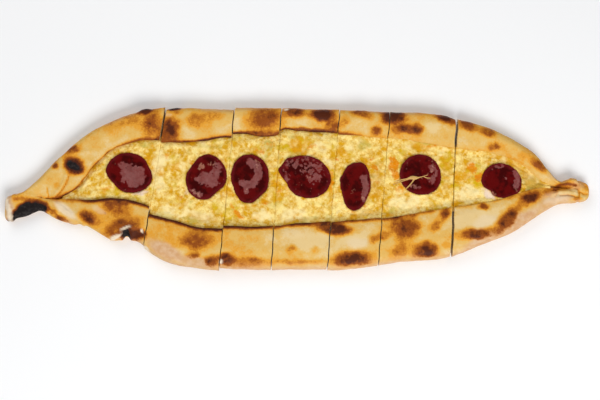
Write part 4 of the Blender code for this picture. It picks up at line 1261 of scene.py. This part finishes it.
def crust_material(colours):
    """Baked crust: golden where it only met the heat, brown to black on its blisters, pale where it tore."""
    graph = Graph("baked_crust", Specular_IOR_Level=0.1)
    fine, medium = graph.noise(0.0016, 4), graph.noise(0.006, 3)
    bake = graph.mark("bake") + (fine - 0.5) * 0.34 + (medium - 0.5) * 0.20
    stops = (
        (0.02, colours.dough), (0.22, colours.golden), (0.40, colours.deep_golden),
        (0.54, colours.amber), (0.70, colours.brown), (0.92, colours.dark),
    )
    skin = graph.node("ShaderNodeValToRGB", {"stops": stops}, {0: bake})
    side = (graph.mark("side") * (0.45 + 1.1 * graph.noise(0.007))).clamped()
    # The side colours carry painted shade of the steep sides over their steamed colour
    steamed = graph.blend(graph.noise(0.0045, 4).above(0.35, 0.7), colours.side, colours.flour)
    skin = graph.blend(side * (1 - bake.above(0.4, 0.7)), skin, steamed)
    # Painted shade in the crumb's pores
    shaded_pores = graph.noise(0.0011, 2).above(0.35, 0.6)
    crumb = graph.blend(shaded_pores, colours.shaded_pores, colours.crumb)
    skin = graph.blend(graph.mark("crumb").clamped(), skin, crumb)
    torn = (graph.mark("pale") + (fine - 0.5) * 0.5 * graph.mark("pale")).clamped()
    skin = graph.blend(torn, skin, colours.torn)
    ash = graph.blend(graph.noise(0.003).above(0.45, 0.75), colours.burnt, colours.ash)
    char = (graph.mark("burnt") + (medium - 0.5) * 0.5).above(0.35, 0.75)
    skin = graph.blend(char, skin, ash)
    graph.bump(fine * 0.4 + graph.noise(0.0032, 2) * 0.6, 0.00035)
    roughness = 0.50 + 0.22 * graph.noise(0.009) - 0.12 * bake.above(0.3, 0.8) + 0.15 * char
    return graph.finish(skin, roughness)


def cheese_material(colours):
    """Melted cheese: pale strands with painted shade between them, yellow and orange fat, and grey-green
    painted shade in its dips.
    """
    graph = Graph("melted_cheese", Specular_IOR_Level=0.12)
    fine, medium, broad = graph.noise(0.0015, 3), graph.noise(0.0056, 3), graph.noise(0.014, 2)
    strand, pit = graph.mark("strand"), graph.mark("pit")
    # The strand term paints the raised strands paler and the gaps between them darker: painted light and shade
    # over the relief
    high = 0.49 + (strand - 0.4) * 0.5 + (medium - 0.5) * 3.2 + (fine - 0.5) * 1.3 + (broad - 0.5) * 1.8
    skin = graph.blend(high.clamped(), colours.cheese, colours.cream)
    # Painted shade: grey-green in the cheese's dips
    skin = graph.blend((graph.mark("shade") * (0.2 + 1.1 * medium)).clamped(), skin, colours.shade)
    butter = graph.mark("butter") * (0.61 + 2.6 * (0.54 - medium) + 0.9 * (fine - 0.5))
    yellow = graph.blend(broad.above(0.42, 0.58), colours.butter, colours.lemon)
    skin = graph.blend(butter.clamped(), skin, yellow)
    cream = graph.mark("cream") * (0.72 + 1.6 * (medium - 0.46))
    skin = graph.blend(cream.clamped(), skin, colours.custard)
    orange = graph.mark("orange") * (0.95 + 2.0 * (fine - 0.5)) + pit * 0.4 * fine
    skin = graph.blend(orange.clamped(), skin, colours.orange)
    specks = graph.noise(0.0017, 2).above(0.64, 0.74) * (1 - graph.mark("cream")) * 0.55
    skin = graph.blend(specks, skin, colours.speck)
    skin = graph.blend(graph.mark("grease") * (0.4 + 0.9 * fine), skin, colours.grease)
    # Painted shade: the dip colour darkens the cheese beside the rounds, under the lips and beneath it
    skin = graph.blend(graph.mark("depth").clamped() * 0.45, skin, colours.dip)
    graph.bump(fine * 0.3 + graph.noise(0.0034, 3) * 0.7, 0.0013)
    roughness = 0.26 + 0.30 * medium + 0.1 * strand
    return graph.finish(skin, roughness)


def sausage_material(colours):
    """Cured sausage: dark red and glossy with fat, with a darker rim, paler specks, and a painted sheen on its
    greasy patches.
    """
    graph = Graph("cured_sausage", Specular_IOR_Level=0.03, Coat_Roughness=0.10, Coat_IOR=1.8)
    fine, medium = graph.noise(0.0011, 3), graph.noise(0.004, 3)
    deep = (graph.noise(0.012, 2) + 0.4 * (medium - 0.5)).above(0.40, 0.62)
    skin = graph.blend(deep, colours.sausage, colours.deep)
    skin = graph.blend((graph.mark("rim") * (0.2 + 1.2 * medium)).clamped(), skin, colours.rim)
    wet = graph.mark("wet")
    # Painted sheen: the sausage turns a lighter red on its greasy patches, as their highlight; the coat gives
    # the real gloss
    skin = graph.blend(wet * (0.55 + 0.9 * (medium - 0.3)), skin, colours.wet)
    # Pale fat, and on some patches a painted glint
    skin = graph.blend((graph.mark("fat") * (0.35 + 0.9 * (fine - 0.3))).clamped(), skin, colours.fat)
    graph.bump(fine * 0.35 + medium * 0.65, 0.0005)
    roughness = 0.30 + 0.25 * fine
    coat = (wet * (0.72 + 0.8 * (fine - 0.5) + 1.3 * (medium - 0.5))).clamped()
    return graph.finish(skin, roughness, Coat_Weight=coat)


def floor_material(colours):
    """The pale, matt floor."""
    graph = Graph("pale_floor", Specular_IOR_Level=0.1)
    soft = graph.noise(0.3, 2)
    colour = graph.blend(soft, colours.floor, tuple(0.985 * c for c in colours.floor))
    return graph.finish(colour, 0.9)


def sizes_of(context):
    return context.scene.flatbread_sizes


def colours_of(context):
    return context.scene.flatbread_colours


class FLATBREAD_OT_crust(bpy.types.Operator):
    """Lays the baked crust over the bread of all seven slices"""

    bl_idname = "flatbread.crust"
    bl_label = "Baked Crust"

    def execute(self, context):
        look = crust_material(colours_of(context))
        for index in range(len(ROUNDS)):
            make_bread(index, look, sizes_of(context))
        return {"FINISHED"}


class FLATBREAD_OT_cheese(bpy.types.Operator):
    """Melts the cheese of all seven slices, with the threads that lie over the rounds"""

    bl_idname = "flatbread.cheese"
    bl_label = "Melted Cheese"

    def execute(self, context):
        look = cheese_material(colours_of(context))
        for index in range(len(ROUNDS)):
            make_cheese(index, look, sizes_of(context))
        make_threads(look)
        return {"FINISHED"}


class FLATBREAD_OT_sausage(bpy.types.Operator):
    """Lays a sausage round on each slice"""

    bl_idname = "flatbread.sausage"
    bl_label = "Sausage Rounds"

    def execute(self, context):
        look = sausage_material(colours_of(context))
        for index in range(len(ROUNDS)):
            make_round(index, look)
        return {"FINISHED"}


def add_light(name, position, target, size, power):
    """A soft rectangular light, turned to its target."""
    data = bpy.data.lights.new(name, "AREA")
    data.shape = "RECTANGLE"
    data.size, data.size_y = size
    data.energy = power
    made = bpy.data.objects.new(name, data)
    made.location = position
    made.rotation_euler = (Vector(target) - Vector(position)).to_track_quat("-Z", "Y").to_euler()
    bpy.context.scene.collection.objects.link(made)


class FLATBREAD_OT_stage(bpy.types.Operator):
    """Sets up the pale floor, the soft lights and the camera above"""

    bl_idname = "flatbread.stage"
    bl_label = "Stage"

    def execute(self, context):
        scene, sizes = context.scene, sizes_of(context)
        mesh = bpy.data.meshes.new("floor")
        corners = [(x * FLOOR_HALF, y * FLOOR_HALF, 0) for x, y in ((-1, -1), (1, -1), (1, 1), (-1, 1))]
        mesh.from_pydata(corners, [], [(0, 1, 2, 3)])
        mesh.materials.append(floor_material(colours_of(context)))
        floor = bpy.data.objects.new("floor", mesh)
        floor.location.z = -FLOOR_DROP
        scene.collection.objects.link(floor)

        world = bpy.data.worlds.new("studio")
        world.use_nodes = True
        sky = world.node_tree.nodes["Background"].inputs
        sky["Color"].default_value, sky["Strength"].default_value = SKY_COLOUR, SKY_STRENGTH
        scene.world = world
        for light in LIGHTS:
            add_light(*light)
        scene.view_settings.view_transform = "Standard"

        camera_data = bpy.data.cameras.new("camera")
        camera_data.lens, camera_data.sensor_width = CAMERA_LENS, CAMERA_SENSOR
        camera = bpy.data.objects.new("camera", camera_data)
        angle = sizes.camera_angle
        back = sizes.camera_distance * Vector((0, -np.cos(angle), np.sin(angle)))
        camera.location = Vector(CAMERA_TARGET) + back
        camera.rotation_euler = (np.pi / 2 - angle, 0, 0)
        scene.collection.objects.link(camera)
        scene.camera = camera
        return {"FINISHED"}


OPERATORS = (FLATBREAD_OT_crust, FLATBREAD_OT_cheese, FLATBREAD_OT_sausage, FLATBREAD_OT_stage)


class FLATBREAD_PT_panel(bpy.types.Panel):
    """Lists the steps that dress the flatbread"""

    bl_idname = "FLATBREAD_PT_panel"
    bl_label = "Flatbread"
    bl_space_type = "VIEW_3D"
    bl_region_type = "UI"
    bl_category = "Flatbread"

    def draw(self, context):
        for operator in OPERATORS:
            self.layout.operator(operator.bl_idname)
        for group in (sizes_of(context), colours_of(context)):
            for name in group.__annotations__:
                self.layout.prop(group, name)


CLASSES = (FlatbreadSizes, FlatbreadColours, *OPERATORS, FLATBREAD_PT_panel)


def register():
    for entry in CLASSES:
        bpy.utils.register_class(entry)
    bpy.types.Scene.flatbread_sizes = bpy.props.PointerProperty(type=FlatbreadSizes)
    bpy.types.Scene.flatbread_colours = bpy.props.PointerProperty(type=FlatbreadColours)


def unregister():
    del bpy.types.Scene.flatbread_sizes
    del bpy.types.Scene.flatbread_colours
    for entry in reversed(CLASSES):
        bpy.utils.unregister_class(entry)


def main():
    register()
    bpy.ops.flatbread.crust()
    bpy.ops.flatbread.cheese()
    bpy.ops.flatbread.sausage()
    bpy.ops.flatbread.stage()


if __name__ == "__main__":
    main()
